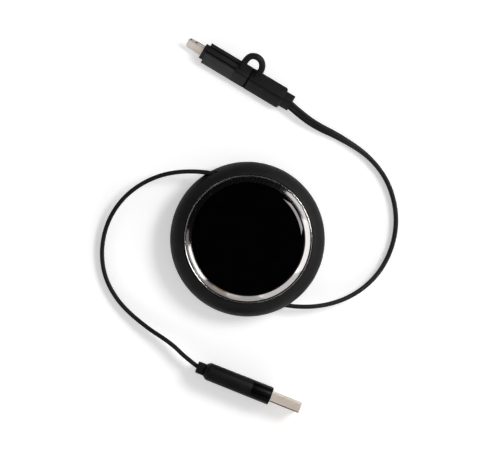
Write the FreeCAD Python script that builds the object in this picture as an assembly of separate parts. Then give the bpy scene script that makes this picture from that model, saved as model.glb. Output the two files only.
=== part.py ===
"""Two-way retractable charging cable: a round reel, a USB plug, and a micro plug with a phone adapter.

Millimetres, +Z up. The origin is the middle of the reel's base, on the table, and +Z is the spool's axis.
Each plug is drawn in its own frame, x along its axis towards the tip, y across its width and z through its
thickness, and is then laid on the table.
"""
import FreeCAD, Part

import math
import os

V = FreeCAD.Vector
UP = V(0, 0, 1)
ORIGIN = V(0, 0, 0)

# Reel case
case_wall = 1.6
base_radius = 26.0
floor_thickness = 1.8
ceiling_thickness = 1.0
recess_radius = 27.1
recess_depth = 0.9
lip_thickness = 0.7
lip_height = 1.0
lip_clearance = 0.1
slot_width = 2.8
slot_margin = 0.3

# Bezel and disc in the lid
seat_clearance = 0.1
bezel_bead = 0.22
bezel_groove_width = 0.36
bezel_band_width = 2.1
bezel_ledge_width = 1.4
bezel_rim_height = 1.15
bezel_groove_depth = 0.35
bezel_rise = 1.15
disc_ledge = 1.1
disc_edge_height = 1.35
disc_rim_radius = 7.0
disc_rim_turn = 26.0
disc_dome = 0.35

# Flat cable
cable_width = 3.8
cable_thickness = 1.65
cable_turns_wound = 3
cable_turn_pitch = 1.7
winding_play = 0.05
bend_share = 0.45

# Spool
drum_radius = 17.0
drum_wall = 1.6
flange_radius = 26.8
flange_play = 4.45
bottom_flange = 1.6
middle_flange = 0.8
cap_thickness = 1.0
cap_lip = 0.8
cap_lip_wall = 1.0
channel_clearance = 0.3
spool_gap = 0.5
top_gap = 0.4
crossing_length = 6.0
crossing_depth = 2.2

# Post that the spool turns on
thrust_radius = 5.5
thrust_clearance = 0.1
hub_radius = 4.0
post_radius = 3.2
journal_radius = 2.6
journal_drop = 1.0
bearing_clearance = 0.05

# Return spring
spring_strip = 0.3
spring_turns = 5
spring_play = 0.4
spring_tang = 0.9
slit_clearance = 0.15

# Track under the spool and the pawl that rides in it
track_rim = 2.2
track_lane = 2.6
track_island = 2.0
track_depth = 0.9
island_count = 3
island_span = 80.0
island_notch_radius = 0.8
pawl_thickness = 1.2
pawl_clearance = 0.1
pawl_arm = 9.29
pawl_hub_radius = 2.4
pawl_tip_radius = 1.5
pawl_pin_radius = 0.8
pawl_pin_clearance = 0.2
pivot_radius = 1.2
pivot_stand = 0.1

# Screw that holds the case together
screw_radius = 0.95
screw_length = 6.0
screw_head_radius = 1.9
screw_head_height = 0.8
screw_cross_width = 0.5
screw_cross_arm = 1.267
screw_cross_depth = 0.4
screw_hole_clearance = 0.1

# USB plug
usb_heading = -21.8
usb_tail = (-21.28, -54.19)
usb_collar_length = 3.65
usb_collar_width = 8.0
usb_collar_thickness = 5.0
usb_collar_corner = 1.2
usb_body_length = 21.0
usb_sleeve_length = 8.8
usb_body_width = 15.0
usb_rear_thickness = 7.45
usb_front_thickness = 7.65
usb_corner_share = 0.45
usb_rear_bevel = 1.4
usb_rear_inset = 1.15
usb_shell_width = 12.0
usb_shell_thickness = 4.5
usb_shell_sheet = 0.3
usb_shell_corner = 0.6
usb_shell_exposed = 13.4
usb_shell_root = 4.0
usb_window = 2.4
usb_window_spread = 5.2
usb_window_setback = 5.2
usb_tongue_thickness = 1.9
usb_tongue_play = 0.1
usb_tongue_setback = 0.6
usb_contact_count = 4
usb_contact_pitch = 2.3
usb_contact_width = 1.0
usb_contact_thickness = 0.15
usb_contact_length = 7.4

# Micro plug at the phone end
phone_heading = 149.2
phone_roll = -60.0
phone_tail = (18.86, 57.66)
micro_collar_length = 4.1
micro_collar_width = 7.4
micro_collar_thickness = 4.5
micro_collar_corner = 1.0
micro_body_length = 17.05
micro_body_width = 9.2
micro_body_thickness = 6.7
micro_body_corner = 1.3
micro_rear_round = 1.2
micro_shell_top = 6.9
micro_shell_bottom = 5.4
micro_shell_height = 1.85
micro_shell_shoulder = 0.6
micro_shell_sheet = 0.25
micro_shell_exposed = 5.4
micro_shell_root = 2.0
micro_tongue_width = 4.4
micro_tongue_thickness = 0.55
micro_tongue_setback = 1.2
micro_contact_count = 5
micro_contact_pitch = 0.65
micro_contact_width = 0.4
micro_contact_thickness = 0.075
micro_contact_setback = 2.4
micro_latch_width = 0.7
micro_latch_length = 2.2
micro_latch_spread = 3.2
micro_latch_setback = 1.2
micro_latch_play = 0.05

# Adapter that is pushed onto the micro plug
seam_gap = 0.1
adapter_sleeve_length = 6.65
adapter_sleeve_corner = 1.2
adapter_block_length = 14.25
adapter_block_width = 8.8
adapter_thickness = 6.6
adapter_block_corner = 0.8
adapter_groove_width = 0.8
adapter_groove_depth = 0.9
adapter_groove_spread = 3.0
adapter_groove_shift = 0.5
socket_clearance = 0.1
socket_sheet = 0.3
socket_depth = 6.5
socket_tongue_width = 4.2
socket_tongue_thickness = 0.4
socket_tongue_length = 5.6
socket_contact_gap = 0.08
socket_contact_setback = 0.3
board_width = 4.8
board_thickness = 0.8
board_length = 9.0
board_chip = 3.0
board_chip_height = 0.7
board_play = 0.3
nose_length = 2.1
nose_width = 8.0
nose_thickness = 3.95
nose_corner = 1.0
tab_width = 6.65
tab_thickness = 1.5
tab_length = 7.2
tab_root = 3.0
tab_root_width = 5.0
tab_tip_corner = 1.6
tab_edge_round = 0.6
tab_clearance = 0.05
tab_detent_radius = 0.6
tab_detent_setback = 3.5
tab_panel_width = 5.2
tab_panel_setback = 3.65
tab_panel_depth = 0.08
tab_contact_count = 8
tab_contact_pitch = 0.7
tab_contact_width = 0.45
tab_contact_length = 3.0
tab_contact_setback = 1.9
tab_contact_stand = 0.05

# Rubber tether between the adapter and the micro plug
tether_radius = 1.2
tether_lean = 24.0
tether_gap = 0.05

# Middle line of the tether: distance from the seam towards the tab, and height over the plug's narrow side
tether_arch = [
    (-3.3, -1.0),
    (-3.4, 1.8),
    (-2.6, 5.8),
    (0.9, 8.2),
    (4.1, 6.3),
    (4.8, 3.0),
    (4.2, -1.0),
]

# Where the cables leave the case: the point where the slot's middle line crosses the rim, and its heading
exit_point = (-16.5, 27.9)
exit_heading = 173.4
slot_inside = 8.0
slot_outside = 8.0

# Heights of the reel's layers, from the table up
pawl_bottom = floor_thickness + pawl_clearance
pawl_top = pawl_bottom + pawl_thickness
spool_bottom = pawl_top + spool_gap
chamber_floor = spool_bottom + bottom_flange
channel_height = cable_width + 2 * channel_clearance
middle_bottom = chamber_floor + channel_height
middle_top = middle_bottom + middle_flange
drum_top = middle_top + channel_height
cap_top = drum_top + cap_thickness
ceiling_bottom = cap_top + top_gap
seat_height = ceiling_bottom + ceiling_thickness
rim_height = seat_height + recess_depth
parting_height = (middle_bottom + middle_top) / 2
lower_cable_height = chamber_floor + channel_height / 2
upper_cable_height = middle_top + channel_height / 2

# Radii and stations that follow from the sizes above
case_radius = flange_radius + flange_play + case_wall
bezel_radius = recess_radius - seat_clearance
bezel_band_radius = bezel_radius - 2 * bezel_bead - bezel_groove_width
bezel_inner_radius = bezel_band_radius - bezel_band_width
bezel_bore_radius = bezel_inner_radius - bezel_ledge_width
chamber_radius = drum_radius - drum_wall
winding_radius = drum_radius + winding_play + cable_turns_wound * cable_turn_pitch
track_outer_radius = flange_radius - track_rim
track_inner_radius = track_outer_radius - 2 * track_lane - track_island
inner_lane_radius = track_inner_radius + track_lane / 2
outer_lane_radius = track_outer_radius - track_lane / 2
track_middle_radius = (inner_lane_radius + outer_lane_radius) / 2
usb_height = usb_body_width / 2
usb_split = usb_collar_length + usb_body_length
usb_front = usb_split + usb_sleeve_length
usb_tip = usb_front + usb_shell_exposed
micro_front = micro_collar_length + micro_body_length
micro_tip = micro_front + micro_shell_exposed
adapter_rear = micro_front + seam_gap
adapter_step = adapter_rear + adapter_sleeve_length
adapter_front = adapter_step + adapter_block_length
tab_base = adapter_front + nose_length
tab_tip = tab_base + tab_length

# Routes of the two cables, from the winding to inside the plug's collar
usb_route = [
    (6.94, 22.14, 12.6),
    (-8.56, 27.0, 12.6),
    (-25.5, 29.3, 12.0),
    (-40.6, 26.4, 9.0),
    (-53.6, 17.4, 5.4),
    (-61.1, 3.8, 2.9),
    (-62.0, -12.1, 2.1),
    (-55.9, -25.7, 2.4),
    (-44.3, -36.5, 3.9),
    (-32.0, -44.4, 6.2),
    (-26.1, -50.4, 7.3),
    (-20.0, -54.85, 7.5),
]
phone_route = [
    (-6.94, -22.14, 7.4),
    (8.56, -27.0, 7.4),
    (25.5, -29.4, 7.2),
    (40.85, -26.5, 5.4),
    (53.5, -18.4, 3.4),
    (61.6, -6.2, 2.3),
    (64.5, 8.6, 2.1),
    (61.2, 23.5, 2.1),
    (52.8, 35.1, 2.3),
    (40.1, 43.7, 2.9),
    (30.0, 48.6, 4.0),
    (23.05, 53.55, 4.9),
    (17.83, 58.26, 5.14),
]


def outline(start, *steps):
    """A closed face in the XZ plane: each step is a point to run to, or a pair of points for an arc."""
    edges = []
    here = V(start[0], 0, start[1])
    for step in steps + (start,):
        if isinstance(step[0], tuple):
            middle = V(step[0][0], 0, step[0][1])
            there = V(step[1][0], 0, step[1][1])
            edges.append(Part.Arc(here, middle, there).toShape())
        else:
            there = V(step[0], 0, step[1])
            edges.append(Part.LineSegment(here, there).toShape())
        here = there
    return Part.Face(Part.Wire(edges))


def turned(start, *steps):
    """A solid of revolution about Z from an outline of radii and heights."""
    return outline(start, *steps).revolve(ORIGIN, UP, 360)


def arc_point(centre, radius, angle):
    """The point of an arc of the profile plane at an angle from the horizontal, in radians."""
    return (centre[0] + radius * math.cos(angle), centre[1] + radius * math.sin(angle))


def cylinder(radius, low, high, x=0.0, y=0.0):
    """An upright cylinder between two heights."""
    return Part.makeCylinder(radius, high - low, V(x, y, low))


def ring(inner, outer, low, high):
    """An upright ring between two heights."""
    return cylinder(outer, low, high).cut(cylinder(inner, low, high))


def block(x0, x1, y0, y1, z0, z1):
    """A box between two corners."""
    return Part.makeBox(x1 - x0, y1 - y0, z1 - z0, V(x0, y0, z0))


def rounded_section(x, width, thickness, corner):
    """A rectangle with round corners across a plug's axis, as a wire at station x."""
    half_w = width / 2
    half_t = thickness / 2
    flat_w = half_w - corner
    flat_t = half_t - corner
    bulge = corner * math.sqrt(0.5)
    edges = []
    for side_y, side_z in ((1, 1), (-1, 1), (-1, -1), (1, -1)):
        on_width = V(x, side_y * half_w, side_z * flat_t)
        on_thickness = V(x, side_y * flat_w, side_z * half_t)
        middle = V(x, side_y * (flat_w + bulge), side_z * (flat_t + bulge))
        if side_y * side_z > 0:
            first, last = on_width, on_thickness
        else:
            first, last = on_thickness, on_width
        if edges:
            edges.append(Part.LineSegment(edges[-1].Vertexes[-1].Point, first).toShape())
        edges.append(Part.Arc(first, middle, last).toShape())
    edges.append(Part.LineSegment(edges[-1].Vertexes[-1].Point, edges[0].Vertexes[0].Point).toShape())
    return Part.Wire(edges)


def rounded_bar(x0, x1, width, thickness, corner):
    """A bar of constant rounded section between two stations."""
    return Part.Face(rounded_section(x0, width, thickness, corner)).extrude(V(x1 - x0, 0, 0))


def micro_bar(x0, x1, grow):
    """A bar with the micro plug's section, a rectangle without its two lower corners, grown all round."""
    half_top = micro_shell_top / 2 + grow
    half_bottom = micro_shell_bottom / 2 + grow
    top = micro_shell_height / 2 + grow
    shoulder = micro_shell_height / 2 - micro_shell_shoulder
    corners = [
        V(x0, half_top, top),
        V(x0, -half_top, top),
        V(x0, -half_top, -shoulder),
        V(x0, -half_bottom, -top),
        V(x0, half_bottom, -top),
        V(x0, half_top, -shoulder),
    ]
    return Part.Face(Part.makePolygon(corners + corners[:1])).extrude(V(x1 - x0, 0, 0))


def lean_height(width, thickness, corner):
    """Height of the phone end's axis if a bar of the given section leans on the table."""
    lean = math.radians(abs(phone_roll))
    return (width / 2 - corner) * math.sin(lean) + (thickness / 2 - corner) * math.cos(lean) + corner


def laid(shape, tail, height, heading, lean):
    """A plug's piece moved from the plug's frame to its place on the table."""
    turn = FreeCAD.Rotation(UP, heading).multiply(FreeCAD.Rotation(V(1, 0, 0), lean))
    moved = shape.copy()
    moved.Placement = FreeCAD.Placement(V(tail[0], tail[1], height), turn).multiply(shape.Placement)
    return moved


def usb_laid(shape):
    """A piece of the USB plug, which stands on its narrow side."""
    return laid(shape, usb_tail, usb_height, usb_heading, 90)


def phone_laid(shape):
    """A piece of the phone end, which leans on the table on one long edge."""
    height = max(
        lean_height(micro_body_width, micro_body_thickness, micro_body_corner),
        lean_height(micro_body_width, adapter_thickness, adapter_sleeve_corner),
        lean_height(adapter_block_width, adapter_thickness, adapter_block_corner),
    )
    return laid(shape, phone_tail, height, phone_heading, phone_roll)


def exit_slot(low, high, half_turns):
    """The block that a cable's slot takes out of the case, on one side or turned to the other."""
    slot = block(-slot_inside, slot_outside, -slot_width / 2, slot_width / 2, low, high)
    slot.rotate(ORIGIN, UP, exit_heading)
    slot.translate(V(exit_point[0], exit_point[1], 0))
    slot.rotate(ORIGIN, UP, 180 * half_turns)
    return slot


def both_exit_slots():
    """The upper slot for the USB cable and the lower one for the phone cable, open to the parting plane."""
    upper = exit_slot(parting_height, drum_top + slot_margin, 0)
    lower = exit_slot(chamber_floor - slot_margin, parting_height, 1)
    lower_lip = exit_slot(parting_height, parting_height + lip_height + lip_clearance, 1)
    return [upper, lower, lower_lip]


def side_curve(edge_radius, edge_height):
    """Centre and radius of the case's side, an arc that is upright at the parting plane."""
    run = case_radius - edge_radius
    rise = abs(edge_height - parting_height)
    radius = (run * run + rise * rise) / (2 * run)
    return (case_radius - radius, parting_height), radius


def upper_shell():
    """The lid half of the case, with the recess for the bezel and disc and the hole for the screw."""
    centre, radius = side_curve(recess_radius, rim_height)
    rim_angle = math.asin((rim_height - parting_height) / radius)
    inner_radius = radius - case_wall
    ceiling_angle = math.asin((ceiling_bottom - parting_height) / inner_radius)
    hole = screw_radius + screw_hole_clearance
    solid = turned(
        (case_radius, parting_height),
        (arc_point(centre, radius, rim_angle / 2), (recess_radius, rim_height)),
        (recess_radius, seat_height),
        (hole, seat_height),
        (hole, ceiling_bottom),
        arc_point(centre, inner_radius, ceiling_angle),
        (arc_point(centre, inner_radius, ceiling_angle / 2), (case_radius - case_wall, parting_height)),
    )
    rebate_radius = case_radius - case_wall + lip_thickness + lip_clearance
    rebate = cylinder(rebate_radius, parting_height, parting_height + lip_height + lip_clearance)
    return solid.cut([rebate, both_exit_slots()[0]])


def case_bowl():
    """The lower half's floor, side and the lip that the lid fits over."""
    centre, radius = side_curve(base_radius, 0)
    base_angle = math.asin(-parting_height / radius)
    inner_radius = radius - case_wall
    floor_angle = math.asin((floor_thickness - parting_height) / inner_radius)
    floor_edge = arc_point(centre, inner_radius, floor_angle)
    inner_edge = case_radius - case_wall
    bowl = turned(
        (0, 0),
        (base_radius, 0),
        (arc_point(centre, radius, base_angle / 2), (case_radius, parting_height)),
        (inner_edge, parting_height),
        (arc_point(centre, inner_radius, floor_angle / 2), floor_edge),
        (0, floor_thickness),
    )
    lip = ring(inner_edge, inner_edge + lip_thickness, parting_height, parting_height + lip_height)
    return bowl.fuse(lip)


def spool_post():
    """The stepped post that carries the spool, with the screw's hole and the slit for the spring."""
    journal_bottom = drum_top - journal_drop
    post = turned(
        (0, floor_thickness),
        (thrust_radius, floor_thickness),
        (thrust_radius, spool_bottom - thrust_clearance),
        (hub_radius, spool_bottom - thrust_clearance),
        (hub_radius, chamber_floor),
        (post_radius, chamber_floor),
        (post_radius, journal_bottom),
        (journal_radius, journal_bottom),
        (journal_radius, ceiling_bottom),
        (0, ceiling_bottom),
    )
    slit = block(
        post_radius - spring_tang - slit_clearance,
        hub_radius,
        -slit_clearance,
        spring_strip + slit_clearance,
        chamber_floor,
        journal_bottom,
    )
    depth = screw_length - ceiling_thickness + screw_hole_clearance
    pilot = cylinder(screw_radius + screw_hole_clearance, ceiling_bottom - depth, ceiling_bottom)
    return post.cut([slit, pilot])


def pivot_place():
    """Where the pawl's pivot stands, so that its pin swings from one lane of the track to the other."""
    swing = (outer_lane_radius - inner_lane_radius) / 2
    reach = math.sqrt(pawl_arm * pawl_arm - swing * swing)
    return V(-reach, -track_middle_radius, 0)


def lower_shell():
    """The base half of the case, with the post for the spool and the pivot for the pawl."""
    place = pivot_place()
    pivot = cylinder(pivot_radius, floor_thickness, pawl_top + pivot_stand, place.x, place.y)
    return case_bowl().fuse([spool_post(), pivot]).cut(both_exit_slots())


def chrome_bezel():
    """The bright ring: an outer bead, a fine groove, a band that slopes up to the disc, and its ledge."""
    bead_foot = seat_height + bezel_rim_height
    groove = bead_foot - bezel_groove_depth
    bead_inner = bezel_radius - 2 * bezel_bead
    crest = bead_foot + bezel_rise
    crest_width = bezel_bead / 2
    ledge = seat_height + disc_ledge
    return turned(
        (bezel_bore_radius, seat_height),
        (bezel_radius, seat_height),
        (bezel_radius, bead_foot),
        ((bezel_radius - bezel_bead, bead_foot + bezel_bead), (bead_inner, bead_foot)),
        (bead_inner, groove),
        (bezel_band_radius, groove),
        (bezel_band_radius, bead_foot),
        (bezel_inner_radius + crest_width, crest),
        (bezel_inner_radius, crest),
        (bezel_inner_radius, ledge),
        (bezel_bore_radius, ledge),
    )


def gloss_disc():
    """The domed disc in the bezel, with a soft round rim."""
    radius = bezel_inner_radius - seat_clearance
    foot = seat_height + disc_ledge
    edge = foot + disc_edge_height
    turn = math.radians(disc_rim_turn)
    centre = (radius - disc_rim_radius * math.sin(turn), edge - disc_rim_radius * math.cos(turn))
    dome_edge = arc_point(centre, disc_rim_radius, math.pi / 2)
    crown = dome_edge[1] + disc_dome
    dome_radius = (dome_edge[0] ** 2 + disc_dome ** 2) / (2 * disc_dome)
    half_way = dome_edge[0] / 2
    dome_middle = crown - dome_radius + math.sqrt(dome_radius ** 2 - half_way ** 2)
    return turned(
        (0, foot),
        (radius, foot),
        (radius, edge),
        (arc_point(centre, disc_rim_radius, (math.pi - turn) / 2), dome_edge),
        ((half_way, dome_middle), (0, crown)),
    )


def case_screw():
    """The pan-head screw under the disc, which draws the lid onto the post."""
    head_top = seat_height + screw_head_height
    screw = cylinder(screw_radius, seat_height - screw_length, seat_height)
    screw = screw.fuse(cylinder(screw_head_radius, seat_height, head_top))
    half_width = screw_cross_width / 2
    low = head_top - screw_cross_depth
    along = block(-screw_cross_arm, screw_cross_arm, -half_width, half_width, low, head_top)
    across = block(-half_width, half_width, -screw_cross_arm, screw_cross_arm, low, head_top)
    return screw.cut([along, across])


def track_islands():
    """The islands between the track's two lanes, each with a notch that catches the pawl's pin."""
    inner = track_inner_radius + track_lane
    outer = inner + track_island
    section = outline(
        (inner, spool_bottom),
        (outer, spool_bottom),
        (outer, spool_bottom + track_depth),
        (inner, spool_bottom + track_depth),
    )
    pitch = 360 / island_count
    islands = []
    for index in range(island_count):
        start = -90 + pitch / 2 - island_span / 2 + pitch * index
        island = section.copy()
        island.rotate(ORIGIN, UP, start)
        island = island.revolve(ORIGIN, UP, island_span)
        at = math.radians(start)
        notch = cylinder(
            island_notch_radius,
            spool_bottom,
            spool_bottom + track_depth,
            track_middle_radius * math.cos(at),
            track_middle_radius * math.sin(at),
        )
        islands.append(island.cut(notch))
    return islands


def cable_spool():
    """The drum with its flanges, the spring's chamber inside it and the pawl's track under it."""
    hub_hole = hub_radius + bearing_clearance
    drum = turned(
        (hub_hole, spool_bottom),
        (flange_radius, spool_bottom),
        (flange_radius, chamber_floor),
        (drum_radius, chamber_floor),
        (drum_radius, middle_bottom),
        (flange_radius, middle_bottom),
        (flange_radius, middle_top),
        (drum_radius, middle_top),
        (drum_radius, drum_top),
        (chamber_radius, drum_top),
        (chamber_radius, chamber_floor),
        (hub_hole, chamber_floor),
    )
    track = ring(track_inner_radius, track_outer_radius, spool_bottom, spool_bottom + track_depth)
    track = track.cut(track_islands())
    crossing = block(
        -drum_radius - crossing_depth,
        -drum_radius,
        -crossing_length / 2,
        crossing_length / 2,
        middle_bottom,
        middle_top,
    )
    slit = block(
        chamber_radius - spring_strip,
        chamber_radius + spring_tang + slit_clearance,
        -spring_strip - slit_clearance,
        slit_clearance,
        chamber_floor,
        drum_top,
    )
    return drum.cut([track, crossing, slit])


def spool_cap():
    """The upper flange, which closes the spring's chamber and turns on the post's top."""
    lip_radius = chamber_radius - lip_clearance
    return turned(
        (journal_radius + bearing_clearance, drum_top),
        (lip_radius - cap_lip_wall, drum_top),
        (lip_radius - cap_lip_wall, drum_top - cap_lip),
        (lip_radius, drum_top - cap_lip),
        (lip_radius, drum_top),
        (flange_radius, drum_top),
        (flange_radius, cap_top),
        (journal_radius + bearing_clearance, cap_top),
    )


def spiral_edge(inner, growth, offset):
    """One edge of the spring's strip: half circles about two centres, each wider than the last."""
    edges = []
    for index in range(2 * spring_turns):
        side = 1 if index % 2 == 0 else -1
        centre = -side * growth / 2
        radius = inner + growth / 2 + index * growth + offset
        start = V(centre + side * radius, 0, 0)
        middle = V(centre, side * radius, 0)
        end = V(centre - side * radius, 0, 0)
        edges.append(Part.Arc(start, middle, end).toShape())
    return edges


def power_spring():
    """The flat spiral spring, hooked into the post at its inner end and into the drum at its outer end."""
    inner = post_radius + spring_play + spring_strip / 2
    outer = chamber_radius - spring_play - spring_strip / 2
    growth = (outer - inner) / (2 * spring_turns)
    near = spiral_edge(inner, growth, -spring_strip / 2)
    far = spiral_edge(inner, growth, spring_strip / 2)
    start = Part.LineSegment(V(inner - spring_strip / 2, 0, 0), V(inner + spring_strip / 2, 0, 0)).toShape()
    end = Part.LineSegment(V(outer - spring_strip / 2, 0, 0), V(outer + spring_strip / 2, 0, 0)).toShape()
    strip = Part.Face(Part.Wire(Part.__sortEdges__(near + far + [start, end])))
    low = chamber_floor + spring_play
    high = drum_top - cap_lip - spring_play
    strip.translate(V(0, 0, low))
    coil = strip.extrude(V(0, 0, high - low))
    inner_tang = block(post_radius - spring_tang, inner, 0, spring_strip, low, high)
    outer_tang = block(outer, chamber_radius + spring_tang, -spring_strip, 0, low, high)
    return coil.fuse([inner_tang, outer_tang]).removeSplitter()


def wound_cable(height):
    """The turns of cable that stay on the drum in one channel, as one ring."""
    return ring(
        drum_radius + winding_play,
        winding_radius,
        height - cable_width / 2,
        height + cable_width / 2,
    )


def ratchet_pawl():
    """The small arm whose pin runs in the track: at rest in the inner lane, swung out to the outer one."""
    fall = math.asin((pawl_hub_radius - pawl_tip_radius) / pawl_arm)
    hub_touch = V(pawl_hub_radius * math.sin(fall), pawl_hub_radius * math.cos(fall), 0)
    tip_touch = V(pawl_arm + pawl_tip_radius * math.sin(fall), pawl_tip_radius * math.cos(fall), 0)
    hub_mirror = V(hub_touch.x, -hub_touch.y, 0)
    tip_mirror = V(tip_touch.x, -tip_touch.y, 0)
    edges = [
        Part.Arc(hub_touch, V(-pawl_hub_radius, 0, 0), hub_mirror).toShape(),
        Part.LineSegment(hub_mirror, tip_mirror).toShape(),
        Part.Arc(tip_mirror, V(pawl_arm + pawl_tip_radius, 0, 0), tip_touch).toShape(),
        Part.LineSegment(tip_touch, hub_touch).toShape(),
    ]
    arm = Part.Face(Part.Wire(edges)).extrude(V(0, 0, pawl_thickness))
    pin_top = spool_gap + track_depth - pawl_pin_clearance
    arm = arm.fuse(cylinder(pawl_pin_radius, 0, pawl_thickness + pin_top, pawl_arm))
    arm = arm.cut(cylinder(pivot_radius + bearing_clearance, 0, pawl_thickness))
    swing = math.asin((track_middle_radius - inner_lane_radius) / pawl_arm)
    arm.rotate(ORIGIN, UP, math.degrees(swing))
    place = pivot_place()
    arm.translate(V(place.x, place.y, pawl_bottom))
    return arm


def cable_path(route):
    """Straight runs joined by tangent arcs as large as the runs allow, and the arcs' radii."""
    points = [V(*point) for point in route]
    edges = []
    radii = []
    here = points[0]
    for before, corner, after in zip(points, points[1:], points[2:]):
        inward = (corner - before).normalize()
        outward = (after - corner).normalize()
        turn = inward.getAngle(outward)
        tangent = bend_share * min(before.distanceToPoint(corner), corner.distanceToPoint(after))
        radius = tangent / math.tan(turn / 2)
        start = corner - inward * tangent
        end = corner + outward * tangent
        to_centre = (outward - inward).normalize()
        middle = corner + to_centre * (radius / math.cos(turn / 2) - radius)
        edges.append(Part.LineSegment(here, start).toShape())
        edges.append(Part.Arc(start, middle, end).toShape())
        radii.append(radius)
        here = end
    edges.append(Part.LineSegment(here, points[-1]).toShape())
    return Part.Wire(edges), radii


def flat_cable(name, route):
    """The free stretch of a cable: a flat section with round edges, on edge, swept along its route."""
    path, radii = cable_path(route)
    start = V(*route[0])
    along = (V(*route[1]) - start).normalize()
    side = UP.cross(along).normalize() * (cable_thickness / 2)
    rise = along.cross(side).normalize()
    flat = rise * (cable_width / 2 - cable_thickness / 2)
    crown = rise * (cable_width / 2)
    section = Part.Wire(
        [
            Part.LineSegment(start + side - flat, start + side + flat).toShape(),
            Part.Arc(start + side + flat, start + crown, start - side + flat).toShape(),
            Part.LineSegment(start - side + flat, start - side - flat).toShape(),
            Part.Arc(start - side - flat, start - crown, start + side - flat).toShape(),
        ]
    )
    sweep = Part.BRepOffsetAPI.MakePipeShell(path)
    sweep.setBiNormalMode(UP)
    sweep.add(section, False, False)
    sweep.build()
    sweep.makeSolid()
    cable = Part.Solid(sweep.shape())
    print(name, "arc radii", [round(radius, 1) for radius in radii])
    print(name, "length", round(path.Length, 1), "volume", round(cable.Volume, 1), "section times length",
          round(Part.Face(section).Area * path.Length, 1))
    return cable


def usb_plug_housing():
    """The moulded grip: a flat collar for the cable and a body with a bevelled rear."""
    collar = rounded_bar(0, usb_collar_length, usb_collar_width, usb_collar_thickness, usb_collar_corner)
    shoulder = usb_collar_length + usb_rear_bevel
    small_width = usb_body_width - 2 * usb_rear_inset
    small_thickness = usb_rear_thickness - 2 * usb_rear_inset
    rear = rounded_section(
        usb_collar_length, small_width, small_thickness, usb_corner_share * small_thickness
    )
    full = rounded_section(
        shoulder, usb_body_width, usb_rear_thickness, usb_corner_share * usb_rear_thickness
    )
    front = rounded_section(
        usb_split, usb_body_width, usb_front_thickness, usb_corner_share * usb_front_thickness
    )
    bevel = Part.makeLoft([rear, full], True, True)
    body = Part.makeLoft([full, front], True, True)
    pocket = rounded_bar(
        usb_split - usb_shell_root, usb_split, usb_shell_width, usb_shell_thickness, usb_shell_corner
    )
    return collar.fuse([bevel, body]).cut(pocket)


def usb_plug_sleeve():
    """The glossy front part of the grip, round the metal shell."""
    corner = usb_corner_share * usb_front_thickness
    sleeve = rounded_bar(usb_split, usb_front, usb_body_width, usb_front_thickness, corner)
    bore = rounded_bar(usb_split, usb_front, usb_shell_width, usb_shell_thickness, usb_shell_corner)
    return sleeve.cut(bore)


def usb_shell_inside(x0, x1):
    """The space inside the USB plug's metal shell."""
    width = usb_shell_width - 2 * usb_shell_sheet
    thickness = usb_shell_thickness - 2 * usb_shell_sheet
    return rounded_bar(x0, x1, width, thickness, usb_shell_corner - usb_shell_sheet)


def usb_plug_shell():
    """The folded metal shell with two latch windows in each wide side."""
    root = usb_split - usb_shell_root
    shell = rounded_bar(root, usb_tip, usb_shell_width, usb_shell_thickness, usb_shell_corner)
    shell = shell.cut(usb_shell_inside(root, usb_tip))
    x1 = usb_tip - usb_window_setback
    half = usb_window / 2
    windows = []
    for side in (-1, 1):
        middle = side * usb_window_spread / 2
        low, high = -usb_shell_thickness, usb_shell_thickness
        windows.append(block(x1 - usb_window, x1, middle - half, middle + half, low, high))
    return shell.cut(windows)


def usb_tongue_levels():
    """Heights of the tongue's two faces in the plug's frame: it lies against one wide wall of the shell."""
    low = usb_shell_sheet - usb_shell_thickness / 2
    return low, low + usb_tongue_thickness


def usb_plug_tongue():
    """The plastic tongue that carries the contacts."""
    low, high = usb_tongue_levels()
    half = usb_shell_width / 2 - usb_shell_corner - usb_tongue_play
    return block(usb_split - usb_shell_root, usb_tip - usb_tongue_setback, -half, half, low, high)


def usb_plug_contacts():
    """The four contact strips on the tongue."""
    high = usb_tongue_levels()[1]
    x1 = usb_tip - 2 * usb_tongue_setback
    strips = []
    for index in range(usb_contact_count):
        y = (index - (usb_contact_count - 1) / 2) * usb_contact_pitch
        strips.append(
            block(
                x1 - usb_contact_length,
                x1,
                y - usb_contact_width / 2,
                y + usb_contact_width / 2,
                high,
                high + usb_contact_thickness,
            )
        )
    return Part.makeCompound(strips)


def micro_plug_housing():
    """The moulded grip of the micro plug: a flat collar and a body with a rounded rear."""
    collar = rounded_bar(
        0, micro_collar_length, micro_collar_width, micro_collar_thickness, micro_collar_corner
    )
    body = rounded_bar(
        micro_collar_length, micro_front, micro_body_width, micro_body_thickness, micro_body_corner
    )
    rear_end = micro_collar_length + micro_rear_round
    rear_edges = [edge for edge in body.Edges if edge.BoundBox.XMax < rear_end]
    body = body.makeFillet(micro_rear_round, rear_edges)
    pocket = micro_bar(micro_front - micro_shell_root, micro_front, 0)
    return body.fuse(collar).cut(pocket)


def micro_latch_place(side):
    """Start station and middle of one latch in the shell's lower wall."""
    x1 = micro_tip - micro_latch_setback
    return x1 - micro_latch_length, x1, side * micro_latch_spread / 2


def micro_plug_shell():
    """The micro plug's metal shell, with slots for its two latches."""
    root = micro_front - micro_shell_root
    shell = micro_bar(root, micro_tip, 0).cut(micro_bar(root, micro_tip, -micro_shell_sheet))
    low = -micro_shell_height / 2
    half = micro_latch_width / 2 + micro_latch_play
    slots = []
    for side in (-1, 1):
        x0, x1, middle = micro_latch_place(side)
        slots.append(
            block(
                x0 - micro_latch_play,
                x1 + micro_latch_play,
                middle - half,
                middle + half,
                low,
                low + micro_shell_sheet,
            )
        )
    return shell.cut(slots)


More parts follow.
